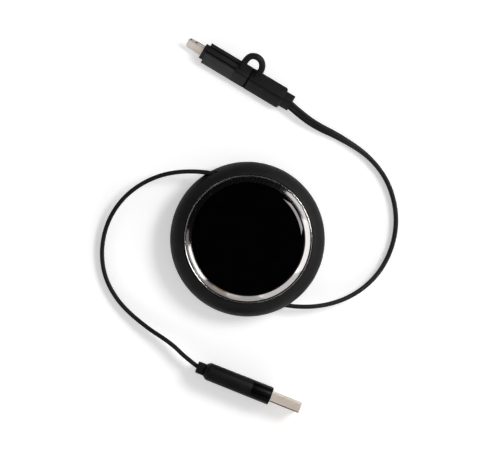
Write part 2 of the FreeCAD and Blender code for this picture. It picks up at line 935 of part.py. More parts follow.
def micro_plug_latches():
    """The two spring latches, level with the shell's lower wall."""
    low = -micro_shell_height / 2
    half = micro_latch_width / 2
    latches = []
    for side in (-1, 1):
        x0, x1, middle = micro_latch_place(side)
        latches.append(block(x0, x1, middle - half, middle + half, low, low + micro_shell_sheet))
    return Part.makeCompound(latches)


def micro_tongue_levels():
    """Heights of the micro plug's tongue: it lies on the shell's lower wall."""
    low = micro_shell_sheet - micro_shell_height / 2
    return low, low + micro_tongue_thickness


def micro_plug_tongue():
    """The plastic tongue inside the micro plug."""
    low, high = micro_tongue_levels()
    half = micro_tongue_width / 2
    return block(micro_front - micro_shell_root, micro_tip - micro_tongue_setback, -half, half, low, high)


def contact_row(x0, x1, low, high):
    """A row of narrow strips across a micro connector's tongue."""
    strips = []
    for index in range(micro_contact_count):
        y = (index - (micro_contact_count - 1) / 2) * micro_contact_pitch
        strips.append(block(x0, x1, y - micro_contact_width / 2, y + micro_contact_width / 2, low, high))
    return Part.makeCompound(strips)


def micro_plug_contacts():
    """The contact strips on the micro plug's tongue."""
    high = micro_tongue_levels()[1]
    return contact_row(micro_front, micro_tip - micro_contact_setback, high, high + micro_contact_thickness)


def adapter_sleeve(grow):
    """The rounded part of the adapter's body round its socket, grown all round."""
    width = micro_body_width + 2 * grow
    thickness = adapter_thickness + 2 * grow
    return rounded_bar(adapter_rear, adapter_step, width, thickness, adapter_sleeve_corner + grow)


def adapter_housing():
    """The adapter's body: a rounded sleeve, and a sharper block with grip grooves on its narrow sides."""
    front = rounded_bar(
        adapter_step, adapter_front, adapter_block_width, adapter_thickness, adapter_block_corner
    )
    half_groove = adapter_groove_width / 2
    side = adapter_block_width / 2
    cuts = []
    for low in (side - adapter_groove_depth, -side):
        for step in (-adapter_groove_spread / 2, adapter_groove_spread / 2):
            middle = adapter_groove_shift + step
            cuts.append(
                block(
                    adapter_step,
                    adapter_front,
                    low,
                    low + adapter_groove_depth,
                    middle - half_groove,
                    middle + half_groove,
                )
            )
    cuts.append(micro_bar(adapter_rear, adapter_rear + socket_depth, socket_clearance + socket_sheet))
    half_board = board_width / 2 + board_play
    board_low, board_high = board_levels()
    board_end = board_stations()[1]
    chip_top = board_high + board_chip_height + board_play
    socket_end = adapter_rear + socket_depth
    cuts.append(block(socket_end, board_end + board_play, -half_board, half_board, board_low, chip_top))
    half_root = tab_root_width / 2 + tab_clearance
    half_slot = tab_thickness / 2 + tab_clearance
    root_start = adapter_front - tab_root
    cuts.append(block(root_start, adapter_front, -half_root, half_root, -half_slot, half_slot))
    return adapter_sleeve(0).fuse(front).cut(cuts)


def adapter_socket_shell():
    """The metal shell of the adapter's socket, a running fit round the micro plug's shell."""
    outside = micro_bar(adapter_rear, adapter_rear + socket_depth, socket_clearance + socket_sheet)
    return outside.cut(micro_bar(adapter_rear, adapter_rear + socket_depth, socket_clearance))


def socket_contact_levels():
    """Heights of the socket's contact strips, just clear of the micro plug's own strips."""
    low = micro_tongue_levels()[1] + micro_contact_thickness + socket_contact_gap
    return low, low + micro_contact_thickness


def adapter_socket_tongue():
    """The tongue in the adapter's socket, which enters the micro plug."""
    low = socket_contact_levels()[1]
    x1 = adapter_rear + socket_depth
    half = socket_tongue_width / 2
    return block(x1 - socket_tongue_length, x1, -half, half, low, low + socket_tongue_thickness)


def adapter_socket_contacts():
    """The contact strips under the socket's tongue."""
    low, high = socket_contact_levels()
    x1 = adapter_rear + socket_depth
    return contact_row(x1 - socket_tongue_length + socket_contact_setback, x1, low, high)


def board_levels():
    """Heights of the adapter's board: its top is level with the bottom of the phone tab."""
    high = -tab_thickness / 2
    return high - board_thickness, high


def board_stations():
    """The stretch of the adapter that its board takes up, ending under the phone tab's root."""
    x1 = adapter_front - tab_root + 2 * board_play
    return x1 - board_length, x1


def adapter_board():
    """The small circuit board with its chip, which joins the socket to the phone tab."""
    low, high = board_levels()
    x0, x1 = board_stations()
    half = board_width / 2
    half_chip = board_chip / 2
    board = block(x0, x1, -half, half, low, high)
    chip_middle = (x0 + adapter_front - tab_root) / 2
    chip_top = high + board_chip_height
    chip = block(chip_middle - half_chip, chip_middle + half_chip, -half_chip, half_chip, high, chip_top)
    return board.fuse(chip)


def tab_collar():
    """The dark nose that the phone tab stands out of."""
    nose = rounded_bar(adapter_front, tab_base, nose_width, nose_thickness, nose_corner)
    half_tab = tab_width / 2 + tab_clearance
    half_slot = tab_thickness / 2 + tab_clearance
    return nose.cut(block(adapter_front, tab_base, -half_tab, half_tab, -half_slot, half_slot))


def phone_tab():
    """The metal tab: a narrow root, round edges, a detent in each edge and a shallow panel."""
    half = tab_width / 2
    half_root = tab_root_width / 2
    x0 = adapter_front - tab_root
    step_x = adapter_front + tab_clearance
    bulge = tab_tip_corner * (1 - math.sqrt(0.5))
    low = -tab_thickness / 2
    corner_x = tab_tip - tab_tip_corner
    corner_y = half - tab_tip_corner
    edges = [
        Part.LineSegment(V(x0, -half_root, low), V(step_x, -half_root, low)).toShape(),
        Part.LineSegment(V(step_x, -half_root, low), V(step_x, -half, low)).toShape(),
        Part.LineSegment(V(step_x, -half, low), V(corner_x, -half, low)).toShape(),
        Part.Arc(
            V(corner_x, -half, low), V(tab_tip - bulge, -half + bulge, low), V(tab_tip, -corner_y, low)
        ).toShape(),
        Part.LineSegment(V(tab_tip, -corner_y, low), V(tab_tip, corner_y, low)).toShape(),
        Part.Arc(
            V(tab_tip, corner_y, low), V(tab_tip - bulge, half - bulge, low), V(corner_x, half, low)
        ).toShape(),
        Part.LineSegment(V(corner_x, half, low), V(step_x, half, low)).toShape(),
        Part.LineSegment(V(step_x, half, low), V(step_x, half_root, low)).toShape(),
        Part.LineSegment(V(step_x, half_root, low), V(x0, half_root, low)).toShape(),
        Part.LineSegment(V(x0, half_root, low), V(x0, -half_root, low)).toShape(),
    ]
    tab = Part.Face(Part.Wire(edges)).extrude(V(0, 0, tab_thickness))
    rim = []
    for edge in tab.Edges:
        box = edge.BoundBox
        level = box.ZMax - box.ZMin < tab_thickness / 2
        if level and box.XMax > tab_base:
            rim.append(edge)
    tab = tab.makeFillet(tab_edge_round, rim)
    cuts = []
    for side in (-1, 1):
        cuts.append(
            cylinder(tab_detent_radius, low, low + tab_thickness, tab_tip - tab_detent_setback, side * half)
        )
    half_panel = tab_panel_width / 2
    high = tab_thickness / 2
    cuts.append(
        block(tab_base, tab_tip - tab_panel_setback, -half_panel, half_panel, high - tab_panel_depth, high)
    )
    return tab.cut(cuts)


def phone_tab_contacts():
    """The row of contact pads on the tab's other face."""
    high = -tab_thickness / 2
    x1 = tab_tip - tab_contact_setback
    pads = []
    for index in range(tab_contact_count):
        y = (index - (tab_contact_count - 1) / 2) * tab_contact_pitch
        pads.append(
            block(
                x1 - tab_contact_length,
                x1,
                y - tab_contact_width / 2,
                y + tab_contact_width / 2,
                high - tab_contact_stand,
                high,
            )
        )
    return Part.makeCompound(pads)


def tether_strap():
    """The rubber loop from the micro plug to the adapter's sleeve, off their narrow side."""
    lean = math.radians(tether_lean)
    points = []
    for along, height in tether_arch:
        y = -micro_body_width / 2 - height * math.cos(lean)
        z = -height * math.sin(lean)
        points.append(V(adapter_rear + along, y, z))
    curve = Part.BSplineCurve()
    curve.interpolate(points)
    path = Part.Wire(curve.toShape())
    start = curve.tangent(curve.FirstParameter)[0]
    section = Part.Wire(Part.makeCircle(tether_radius, points[0], start))
    loop = path.makePipeShell([section], True, True)
    body = rounded_bar(0, micro_front, micro_body_width, micro_body_thickness, micro_body_corner)
    return loop.cut([body, adapter_sleeve(tether_gap)])


def main():
    """Build every piece and write it under its node's name."""
    pieces = {
        "lower_shell": lower_shell(),
        "upper_shell": upper_shell(),
        "chrome_bezel": chrome_bezel(),
        "gloss_disc": gloss_disc(),
        "case_screw": case_screw(),
        "cable_spool": cable_spool(),
        "spool_cap": spool_cap(),
        "power_spring": power_spring(),
        "upper_winding": wound_cable(upper_cable_height),
        "lower_winding": wound_cable(lower_cable_height),
        "ratchet_pawl": ratchet_pawl(),
        "usb_cable": flat_cable("usb_cable", usb_route),
        "phone_cable": flat_cable("phone_cable", phone_route),
    }
    usb_makers = [usb_plug_housing, usb_plug_sleeve, usb_plug_shell, usb_plug_tongue, usb_plug_contacts]
    phone_makers = [
        micro_plug_housing,
        micro_plug_shell,
        micro_plug_latches,
        micro_plug_tongue,
        micro_plug_contacts,
        adapter_housing,
        adapter_socket_shell,
        adapter_socket_tongue,
        adapter_socket_contacts,
        adapter_board,
        tab_collar,
        phone_tab,
        phone_tab_contacts,
        tether_strap,
    ]
    for maker in usb_makers:
        pieces[maker.__name__] = usb_laid(maker())
    for maker in phone_makers:
        pieces[maker.__name__] = phone_laid(maker())
    os.makedirs("parts", exist_ok=True)
    for name, shape in pieces.items():
        shape.exportStep("parts/" + name + ".step")
        print(name, "solids", len(shape.Solids), "valid", shape.isValid(), "volume", round(shape.Volume, 2))


if __name__ == "__main__":
    main()
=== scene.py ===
"""Looks of a retractable charging cable: a reel, a USB plug, and a micro plug with an adapter.

Metres, +Z up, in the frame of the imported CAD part. Pieces are shaped in millimetres and
scaled to metres when they are finished.
"""

import logging
import math
from dataclasses import dataclass, replace
from enum import Enum
from typing import Callable, Sequence

import bmesh
import bpy
from bmesh.types import BMEdge, BMesh, BMVert
from mathutils import Matrix, Vector


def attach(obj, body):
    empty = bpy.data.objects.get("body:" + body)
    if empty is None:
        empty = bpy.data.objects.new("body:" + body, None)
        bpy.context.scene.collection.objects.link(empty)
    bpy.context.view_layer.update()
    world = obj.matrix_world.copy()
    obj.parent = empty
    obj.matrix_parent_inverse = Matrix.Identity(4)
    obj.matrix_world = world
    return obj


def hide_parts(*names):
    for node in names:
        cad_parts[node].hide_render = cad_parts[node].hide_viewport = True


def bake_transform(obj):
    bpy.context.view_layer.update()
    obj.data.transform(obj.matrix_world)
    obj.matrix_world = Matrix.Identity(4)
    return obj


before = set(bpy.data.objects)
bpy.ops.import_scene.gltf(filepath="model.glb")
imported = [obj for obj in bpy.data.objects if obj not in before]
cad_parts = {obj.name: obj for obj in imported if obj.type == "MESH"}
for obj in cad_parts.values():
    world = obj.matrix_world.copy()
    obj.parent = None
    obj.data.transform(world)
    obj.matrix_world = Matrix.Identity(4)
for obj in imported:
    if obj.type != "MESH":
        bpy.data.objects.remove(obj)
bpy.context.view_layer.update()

log = logging.getLogger("charging_cable")

MM = 0.001
SHARP_ANGLE = math.radians(32)
MERGE_DISTANCE = 1e-4
LEAST_CORNER = 0.1
OUTLINE_SEGMENTS = 4
EDGE_SEGMENTS = 3
RING_SEGMENTS = 10
END_STEPS = 5
ROUTE_STEPS = 20
WHITE = (1.0, 1.0, 1.0, 1.0)
UP = Vector((0.0, 0.0, 1.0))

Colour = tuple[float, float, float]
Point = tuple[float, float, float]
SocketValue = float | Sequence[float] | bpy.types.NodeSocket


class Body(Enum):
    """The CAD bodies that new pieces ride on."""

    REEL = "reel_case"
    ADAPTER = "adapter"


class Slot(Enum):
    """The record's material slots."""

    SOFT_TOUCH = "soft_touch"
    CHROME = "bright_chrome"
    GLOSS = "gloss_black"
    JACKET = "cable_jacket"
    PLUG = "plug_plastic"
    PLATED = "plated_metal"
    NOSE = "nose_plastic"
    RUBBER = "tether_rubber"


class Rounding(Enum):
    """What a rounding works on."""

    EDGES = "EDGES"
    CORNERS = "VERTICES"


class End(Enum):
    """An end of a moulded bar, with the way along x from there into the bar."""

    REAR = 1.0
    FRONT = -1.0


class NodeBench:
    """Lays nodes in one shader tree and joins their sockets."""

    def __init__(self, tree: bpy.types.NodeTree) -> None:
        """Work on a tree from scratch."""
        self.tree = tree
        tree.nodes.clear()

    def add(
        self, kind: str, inputs: dict[str | int, SocketValue] | None = None, **settings: object
    ) -> bpy.types.Node:
        """Add a node.

        Args:
            kind: the node's type name.
            inputs: a constant or an output to link, for each input's name or number.
            settings: attributes to set on the node.

        Returns:
            The new node.
        """
        node = self.tree.nodes.new(kind)
        for name, setting in settings.items():
            setattr(node, name, setting)
        for key, value in (inputs or {}).items():
            if isinstance(value, bpy.types.NodeSocket):
                self.tree.links.new(value, node.inputs[key])
            else:
                node.inputs[key].default_value = value
        return node


class SurfaceGroups:
    """The effects that several finishes share, each built once as a shader node group."""

    GRAIN = "moulded_grain"
    GRAIN_DETAIL = 3.0
    GRAIN_ROUGHNESS = 0.6
    CLOUD_DETAIL = 2.0
    CLOUD_FROM = 0.3
    CLOUD_TO = 0.7
    HANDLING = "handling_marks"
    SMUDGE_DETAIL = 4.0
    SMUDGE_DISTORTION = 0.6
    SMUDGE_FROM = 0.35
    SMUDGE_TO = 0.7

    @staticmethod
    def _open(
        name: str, inputs: Sequence[str], outputs: Sequence[str]
    ) -> tuple[NodeBench, dict[str, bpy.types.NodeSocket]]:
        """Start a group.

        Args:
            name: the group's name.
            inputs: names of its inputs, of which Position is a vector and the rest are numbers.
            outputs: names of its outputs, all numbers.

        Returns:
            The bench, and the inner sockets of the inputs by name.
        """
        tree = bpy.data.node_groups.new(name, "ShaderNodeTree")
        for label in inputs:
            kind = "NodeSocketVector" if label == "Position" else "NodeSocketFloat"
            tree.interface.new_socket(name=label, in_out="INPUT", socket_type=kind)
        for label in outputs:
            tree.interface.new_socket(name=label, in_out="OUTPUT", socket_type="NodeSocketFloat")
        bench = NodeBench(tree)
        source = bench.add("NodeGroupInput")
        return bench, {socket.name: socket for socket in source.outputs}

    @classmethod
    def grain(cls) -> bpy.types.NodeTree:
        """Fine moulded grain, and broad clouds of slightly different shade.

        Returns:
            The node group, with outputs Height and Cloud.
        """
        if cls.GRAIN in bpy.data.node_groups:
            return bpy.data.node_groups[cls.GRAIN]
        inputs = ("Position", "Grain Scale", "Cloud Scale")
        bench, into = cls._open(cls.GRAIN, inputs, ("Height", "Cloud"))
        fine = bench.add("ShaderNodeTexNoise", {
            "Vector": into["Position"], "Scale": into["Grain Scale"],
            "Detail": cls.GRAIN_DETAIL, "Roughness": cls.GRAIN_ROUGHNESS,
        })
        broad = bench.add("ShaderNodeTexNoise", {
            "Vector": into["Position"], "Scale": into["Cloud Scale"], "Detail": cls.CLOUD_DETAIL,
        })
        cloud = bench.add("ShaderNodeMapRange", {
            "Value": broad.outputs["Fac"], "From Min": cls.CLOUD_FROM, "From Max": cls.CLOUD_TO,
        }, interpolation_type="SMOOTHSTEP")
        bench.add("NodeGroupOutput", {
            "Height": fine.outputs["Fac"], "Cloud": cloud.outputs["Result"],
        })
        return bench.tree

    @classmethod
    def handling(cls) -> bpy.types.NodeTree:
        """Faint smudges from handling, as a roughness between two values.

        Returns:
            The node group, with the output Roughness.
        """
        if cls.HANDLING in bpy.data.node_groups:
            return bpy.data.node_groups[cls.HANDLING]
        inputs = ("Position", "Scale", "Clean", "Smudged")
        bench, into = cls._open(cls.HANDLING, inputs, ("Roughness",))
        smudge = bench.add("ShaderNodeTexNoise", {
            "Vector": into["Position"], "Scale": into["Scale"],
            "Detail": cls.SMUDGE_DETAIL, "Distortion": cls.SMUDGE_DISTORTION,
        })
        spread = bench.add("ShaderNodeMapRange", {
            "Value": smudge.outputs["Fac"], "From Min": cls.SMUDGE_FROM, "From Max": cls.SMUDGE_TO,
            "To Min": into["Clean"], "To Max": into["Smudged"],
        })
        bench.add("NodeGroupOutput", {"Roughness": spread.outputs["Result"]})
        return bench.tree


@dataclass(frozen=True)
class Finish:
    """A finish whose shade, gloss and grain vary over the surface. Sizes are in millimetres."""

    name: str
    dark: Colour
    light: Colour
    clean: float
    smudged: float
    grain: float
    depth: float
    cloud: float = 6.0
    smudge: float = 9.0
    metallic: float = 0.0
    specular: float = 0.5
    stretch: Point = (1.0, 1.0, 1.0)
    turn: float = 0.0

    def material(self) -> bpy.types.Material:
        """Build the material, or give the one that is there.

        Returns:
            The material.
        """
        if self.name in bpy.data.materials:
            return bpy.data.materials[self.name]
        material = bpy.data.materials.new(self.name)
        material.use_nodes = True
        bench = NodeBench(material.node_tree)
        place = bench.add("ShaderNodeTexCoord")
        lay = bench.add("ShaderNodeMapping", {
            "Vector": place.outputs["Object"], "Scale": self.stretch,
            "Rotation": (0.0, 0.0, math.radians(self.turn)),
        })
        grain = bench.add("ShaderNodeGroup", {
            "Position": lay.outputs["Vector"],
            "Grain Scale": 1.0 / (self.grain * MM), "Cloud Scale": 1.0 / (self.cloud * MM),
        }, node_tree=SurfaceGroups.grain())
        marks = bench.add("ShaderNodeGroup", {
            "Position": place.outputs["Object"], "Scale": 1.0 / (self.smudge * MM),
            "Clean": self.clean, "Smudged": self.smudged,
        }, node_tree=SurfaceGroups.handling())
        shade = bench.add("ShaderNodeMix", {
            "Factor": grain.outputs["Cloud"], "A": (*self.dark, 1.0), "B": (*self.light, 1.0),
        }, data_type="RGBA")
        bump = bench.add("ShaderNodeBump", {
            "Height": grain.outputs["Height"], "Distance": self.depth * MM,
        })
        skin = bench.add("ShaderNodeBsdfPrincipled", {
            "Base Color": shade.outputs["Result"], "Roughness": marks.outputs["Roughness"],
            "Normal": bump.outputs["Normal"], "Metallic": self.metallic,
            "Specular IOR Level": self.specular,
        })
        bench.add("ShaderNodeOutputMaterial", {"Surface": skin.outputs["BSDF"]})
        return material


@dataclass(frozen=True)
class Lie:
    """Where a plug lies: the table place of its tail, the heading of its axis and its roll."""

    tail: Point
    heading: float
    roll: float

    def matrix(self) -> Matrix:
        """The move from the plug's frame to the table.

        Returns:
            The move's matrix, in millimetres.
        """
        heading = Matrix.Rotation(math.radians(self.heading), 4, "Z")
        roll = Matrix.Rotation(math.radians(self.roll), 4, "X")
        return Matrix.Translation(self.tail) @ heading @ roll

    def lay(self, bm: BMesh) -> BMesh:
        """Move a bmesh from the plug's frame to the table, and give it back."""
        bmesh.ops.transform(bm, matrix=self.matrix(), verts=bm.verts)
        return bm


USB_LIE = Lie((-21.28, -54.19, 7.5), -21.8, 90.0)
PHONE_LIE = Lie((18.86, 57.66, 5.194), 149.2, -60.0)

# Name, dark and light shade, roughness when clean and smudged, grain size and grain depth.
SOFT_TOUCH = Finish(
    "soft_touch_black", (0.0072, 0.0072, 0.0075), (0.0094, 0.0093, 0.0095),
    0.50, 0.60, 0.16, 0.012, specular=0.30,
)
CHROME = Finish(
    "bright_chrome", (0.80, 0.765, 0.77), (0.84, 0.80, 0.80), 0.04, 0.08, 0.3, 0.0, metallic=1.0,
)
GLOSS = Finish(
    "piano_black", (0.0006, 0.0006, 0.0006), (0.0010, 0.0010, 0.0010),
    0.025, 0.05, 0.4, 0.0, specular=0.28,
)
JACKET = Finish(
    "cable_jacket_black", (0.0105, 0.0105, 0.011), (0.0145, 0.0145, 0.015),
    0.42, 0.52, 0.12, 0.008, specular=0.20,
)
GRIP = Finish(
    "grip_black", (0.0058, 0.0058, 0.0060), (0.0078, 0.0078, 0.0080),
    0.46, 0.56, 0.14, 0.010, specular=0.18,
)
SATIN = Finish(
    "satin_black", (0.0080, 0.0080, 0.0083), (0.0105, 0.0105, 0.0107),
    0.48, 0.58, 0.14, 0.010, specular=0.17,
)
SLEEVE = Finish(
    "polished_black", (0.0006, 0.0006, 0.0006), (0.0010, 0.0010, 0.0010),
    0.32, 0.40, 0.2, 0.003, specular=0.20,
)
ADAPTER = Finish(
    "adapter_black", (0.0100, 0.0100, 0.0103), (0.0130, 0.0130, 0.0132),
    0.42, 0.52, 0.14, 0.008, specular=0.19,
)
BLOCK = Finish(
    "adapter_block_black", (0.0120, 0.0120, 0.0123), (0.0150, 0.0150, 0.0152),
    0.36, 0.46, 0.14, 0.006, specular=0.31,
)
# Painted highlight: a lighter, glossier black for the adapter block's upper ridge, standing in for
# the light that the ridge catches.
RIDGE_HIGHLIGHT = Finish(
    "ridge_painted_highlight", (0.034, 0.034, 0.035), (0.046, 0.046, 0.047),
    0.32, 0.42, 0.14, 0.004, specular=0.4,
)
RUBBER = Finish(
    "tether_black", (0.0095, 0.0095, 0.0095), (0.0125, 0.0125, 0.0125),
    0.46, 0.56, 0.15, 0.008, specular=0.24,
)
NOSE = Finish(
    "nose_brown_black", (0.010, 0.008, 0.007), (0.016, 0.012, 0.010),
    0.44, 0.54, 0.2, 0.006, specular=0.22,
)
NICKEL = Finish(
    "satin_nickel", (0.89, 0.78, 0.675), (0.97, 0.855, 0.745), 0.36, 0.46, 0.22, 0.010,
    cloud=1.2, metallic=0.5, stretch=(0.12, 1.0, 1.0), turn=-USB_LIE.heading,
)
TAB_METAL = Finish(
    "pale_nickel", (0.93, 0.86, 0.79), (0.98, 0.91, 0.84), 0.32, 0.40, 0.25, 0.006,
    cloud=1.5, metallic=0.66, stretch=(0.2, 1.0, 1.0), turn=-PHONE_LIE.heading,
)
TAB_PLATE = Finish(
    "panel_nickel", (0.90, 0.81, 0.71), (0.95, 0.86, 0.76), 0.34, 0.42, 0.25, 0.006,
    cloud=1.5, metallic=0.8, stretch=(0.2, 1.0, 1.0), turn=-PHONE_LIE.heading,
)
# Painted shade: a grey for the line along the tab's narrow edge, standing in for its shade.
TAB_EDGE_SHADE = Finish(
    "tab_edge_painted_shade", (0.20, 0.18, 0.16), (0.26, 0.235, 0.21), 0.4, 0.5, 0.2, 0.002, specular=0.2,
)
# Painted shade: a dark grey for strips and spots that stand in for shade and dark reflections on
# the metal.
PAINTED_SHADE = Finish(
    "painted_shade_grey", (0.030, 0.027, 0.024), (0.050, 0.045, 0.040), 0.4, 0.5, 0.2, 0.002, specular=0.2,
)
# Painted shade: near-black for the ends of the micro plug and the adapter at the gap between them,
# and for the filler in that gap.
GAP_SHADE = Finish(
    "painted_gap_shade", (0.0025, 0.0025, 0.0025), (0.0035, 0.0035, 0.0035),
    0.85, 0.92, 0.2, 0.0, specular=0.02,
)
GOLD = Finish(
    "contact_gold", (0.78, 0.56, 0.25), (0.86, 0.64, 0.32), 0.22, 0.32, 0.2, 0.003, metallic=1.0,
)
STEEL = Finish(
    "spring_steel", (0.46, 0.46, 0.47), (0.58, 0.58, 0.59), 0.26, 0.36, 0.2, 0.004,
    metallic=1.0, stretch=(1.0, 1.0, 0.1),
)
SPOOL = Finish("spool_grey", (0.16, 0.16, 0.165), (0.19, 0.19, 0.195), 0.42, 0.5, 0.2, 0.008)
TONGUE = Finish("tongue_white", (0.70, 0.70, 0.68), (0.76, 0.76, 0.74), 0.4, 0.48, 0.2, 0.004)
BOARD = Finish("board_green", (0.015, 0.09, 0.03), (0.02, 0.12, 0.045), 0.3, 0.4, 0.3, 0.006)


def link(name: str, data: bpy.types.ID) -> bpy.types.Object:
    """Put data in the scene as an object at the origin.

    Args:
        name: the object's name.
        data: its mesh, curve, light or camera.

    Returns:
        The object.
    """
    made = bpy.data.objects.new(name, data)
    bpy.context.scene.collection.objects.link(made)
    return made


def mesh_of(bm: BMesh, name: str) -> bpy.types.Mesh:
    """Write a bmesh to a new mesh.

    Args:
        bm: the bmesh; it is freed.
        name: the mesh's name.

    Returns:
        The mesh.
    """
    mesh = bpy.data.meshes.new(name)
    bm.to_mesh(mesh)
    bm.free()
    return mesh


def tidy(bm: BMesh) -> None:
    """Merge doubled points and turn the faces outwards."""
    bmesh.ops.remove_doubles(bm, verts=bm.verts, dist=MERGE_DISTANCE)
    bmesh.ops.recalc_face_normals(bm, faces=bm.faces)


def soften(
    bm: BMesh, geom: Sequence[BMEdge | BMVert], width: float, segments: int,
    rounding: Rounding = Rounding.EDGES,
) -> None:
    """Round some edges or corners.

    Args:
        bm: the bmesh.
        geom: the edges, or the points at the corners.
        width: width of the rounding.
        segments: number of steps round it.
        rounding: whether edges or corners are rounded.
    """
    bmesh.ops.bevel(
        bm, geom=geom, offset=width, affect=rounding.value, segments=segments, profile=0.5,
        material=-1,
    )


def soft_shade(bm: BMesh) -> None:
    """Shade smooth, with edges over the sharp angle kept crisp.

    Args:
        bm: the bmesh.
    """
    for face in bm.faces:
        face.smooth = True
    for edge in bm.edges:
        edge.smooth = len(edge.link_faces) != 2 or edge.calc_face_angle(0.0) < SHARP_ANGLE


def paint(
    bm: BMesh, finishes: Sequence[Finish], choose: Callable[[Vector], Finish]
) -> None:
    """Give each face one of its piece's finishes.

    Args:
        bm: the bmesh.
        finishes: the piece's finishes.
        choose: picks the finish for a face's middle.
    """
    for face in bm.faces:
        face.material_index = finishes.index(choose(face.calc_center_median()))


def merged(parts: Sequence[BMesh]) -> BMesh:
    """Put several bmeshes into one.

    Args:
        parts: the bmeshes; they are freed.

    Returns:
        The one bmesh.
    """
    whole = bmesh.new()
    for part in parts:
        mesh = mesh_of(part, "part")
        whole.from_mesh(mesh)
        bpy.data.meshes.remove(mesh)
    return whole


def carve(bm: BMesh, tool: BMesh) -> BMesh:
    """Cut one closed bmesh out of another.

    Args:
        bm: the bmesh that is cut; it is freed.
        tool: the bmesh that cuts; it is freed.

    Returns:
        What is left, as a new bmesh.
    """
    stock = link("stock", mesh_of(bm, "stock"))
    cutter = link("cutter", mesh_of(tool, "cutter"))
    cut = stock.modifiers.new("cut", "BOOLEAN")
    cut.operation = "DIFFERENCE"
    cut.solver = "EXACT"
    cut.object = cutter
    graph = bpy.context.evaluated_depsgraph_get()
    mesh = bpy.data.meshes.new_from_object(stock.evaluated_get(graph), depsgraph=graph)
    left = bmesh.new()
    left.from_mesh(mesh)
    for temporary in (stock, cutter):
        data = temporary.data
        bpy.data.objects.remove(temporary)
        bpy.data.meshes.remove(data)
    bpy.data.meshes.remove(mesh)
    return left


def publish(
    bm: BMesh, name: str, body: Body | None, finishes: Sequence[Finish],
    replaces: Sequence[str] = (),
) -> bpy.types.Object:
    """Scale a bmesh to metres and make it a finished piece.

    Args:
        bm: the bmesh in millimetres; it is freed.
        name: the piece's name.
        body: the body that it rides on, or None, which leaves it on no body.
        finishes: its finishes, the main one first.
        replaces: CAD nodes that it stands for.

    Returns:
        The piece.
    """
    bmesh.ops.scale(bm, vec=Vector((MM, MM, MM)), verts=bm.verts)
    soft_shade(bm)
    piece = link(name, mesh_of(bm, name))
    for finish in finishes:
        piece.data.materials.append(finish.material())
    if body:
        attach(piece, body.value)
    if replaces:
        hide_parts(*replaces)
    carrier = body.value if body else "two bodies"
    log.info("%s: %d faces on %s", name, len(piece.data.polygons), carrier)
    return piece


class Turning:
    """An outline of radii and heights that is turned about the reel's axis into a solid."""

    def __init__(self, radius: float, height: float, soft: float = 0.0) -> None:
        """Start the outline at a point.

        Args:
            radius: the point's radius.
            height: the point's height.
            soft: width by which the corner there is rounded.
        """
        self.bm = bmesh.new()
        self.first = self.last = self.bm.verts.new((radius, 0.0, height))
        self.softened: dict[float, list[BMVert]] = {}
        self._note(soft)

    def _note(self, soft: float) -> None:
        """Remember that the newest corner is rounded by a width."""
        if soft:
            self.softened.setdefault(soft, []).append(self.last)

    def line(self, radius: float, height: float, soft: float = 0.0) -> None:
        """Run straight to a point.

        Args:
            radius: the point's radius.
            height: the point's height.
            soft: width by which the corner there is rounded.
        """
        self.last = bmesh.ops.extrude_vert_indiv(self.bm, verts=[self.last])["verts"][0]
        self.last.co = (radius, 0.0, height)
        self._note(soft)

    def arc(
        self, centre: tuple[float, float], degrees: float, steps: int, soft: float = 0.0
    ) -> None:
        """Run along an arc.

        Args:
            centre: radius and height of the arc's centre.
            degrees: how far it turns, from outwards towards up.
            steps: number of straight steps.
            soft: width by which the corner at its end is rounded.
        """
        made = bmesh.ops.spin(
            self.bm, geom=[self.last], cent=(centre[0], 0.0, centre[1]), axis=(0.0, -1.0, 0.0),
            angle=math.radians(degrees), steps=steps,
        )
        self.last = next(part for part in made["geom_last"] if isinstance(part, BMVert))
        self._note(soft)

    def turn(self, steps: int) -> BMesh:
        """Close the outline, round its noted corners and turn it full circle.

        Args:
            steps: number of steps round the axis.

        Returns:
            The closed solid's bmesh.
        """
        if self.last.co.x > MERGE_DISTANCE or self.first.co.x > MERGE_DISTANCE:
            self.bm.edges.new((self.last, self.first))
        for width, corners in self.softened.items():
            soften(self.bm, corners, width, OUTLINE_SEGMENTS, Rounding.CORNERS)
        outline = self.bm.verts[:] + self.bm.edges[:]
        bmesh.ops.spin(
            self.bm, geom=outline, cent=(0.0, 0.0, 0.0), axis=UP, angle=math.tau, steps=steps,
            use_merge=True,
        )
        tidy(self.bm)
        return self.bm


def sweep(section: Sequence[tuple[float, float]], frames: Sequence[Matrix]) -> BMesh:
    """Run a closed section along a row of frames and close both ends.

    Args:
        section: points across the run, as a frame's y and z.
        frames: one frame per station, with x along the run.

    Returns:
        The closed run as a bmesh.
    """
    bm = bmesh.new()
    ring = [bm.verts.new(frames[0] @ Vector((0.0, y, z))) for y, z in section]
    loop = [bm.edges.new((ring[i - 1], ring[i])) for i in range(len(ring))]
    ends = [loop]
    for before, after in zip(frames, frames[1:]):
        made = bmesh.ops.extrude_edge_only(bm, edges=loop)["geom"]
        fresh = [part for part in made if isinstance(part, BMVert)]
        known = set(fresh)
        edges = [part for part in made if isinstance(part, BMEdge)]
        loop = [edge for edge in edges if known.issuperset(edge.verts)]
        bmesh.ops.transform(bm, matrix=after @ before.inverted(), verts=fresh)
    ends.append(loop)
    for rim in ends:
        bmesh.ops.holes_fill(bm, edges=rim)
    bmesh.ops.recalc_face_normals(bm, faces=bm.faces)
    return bm


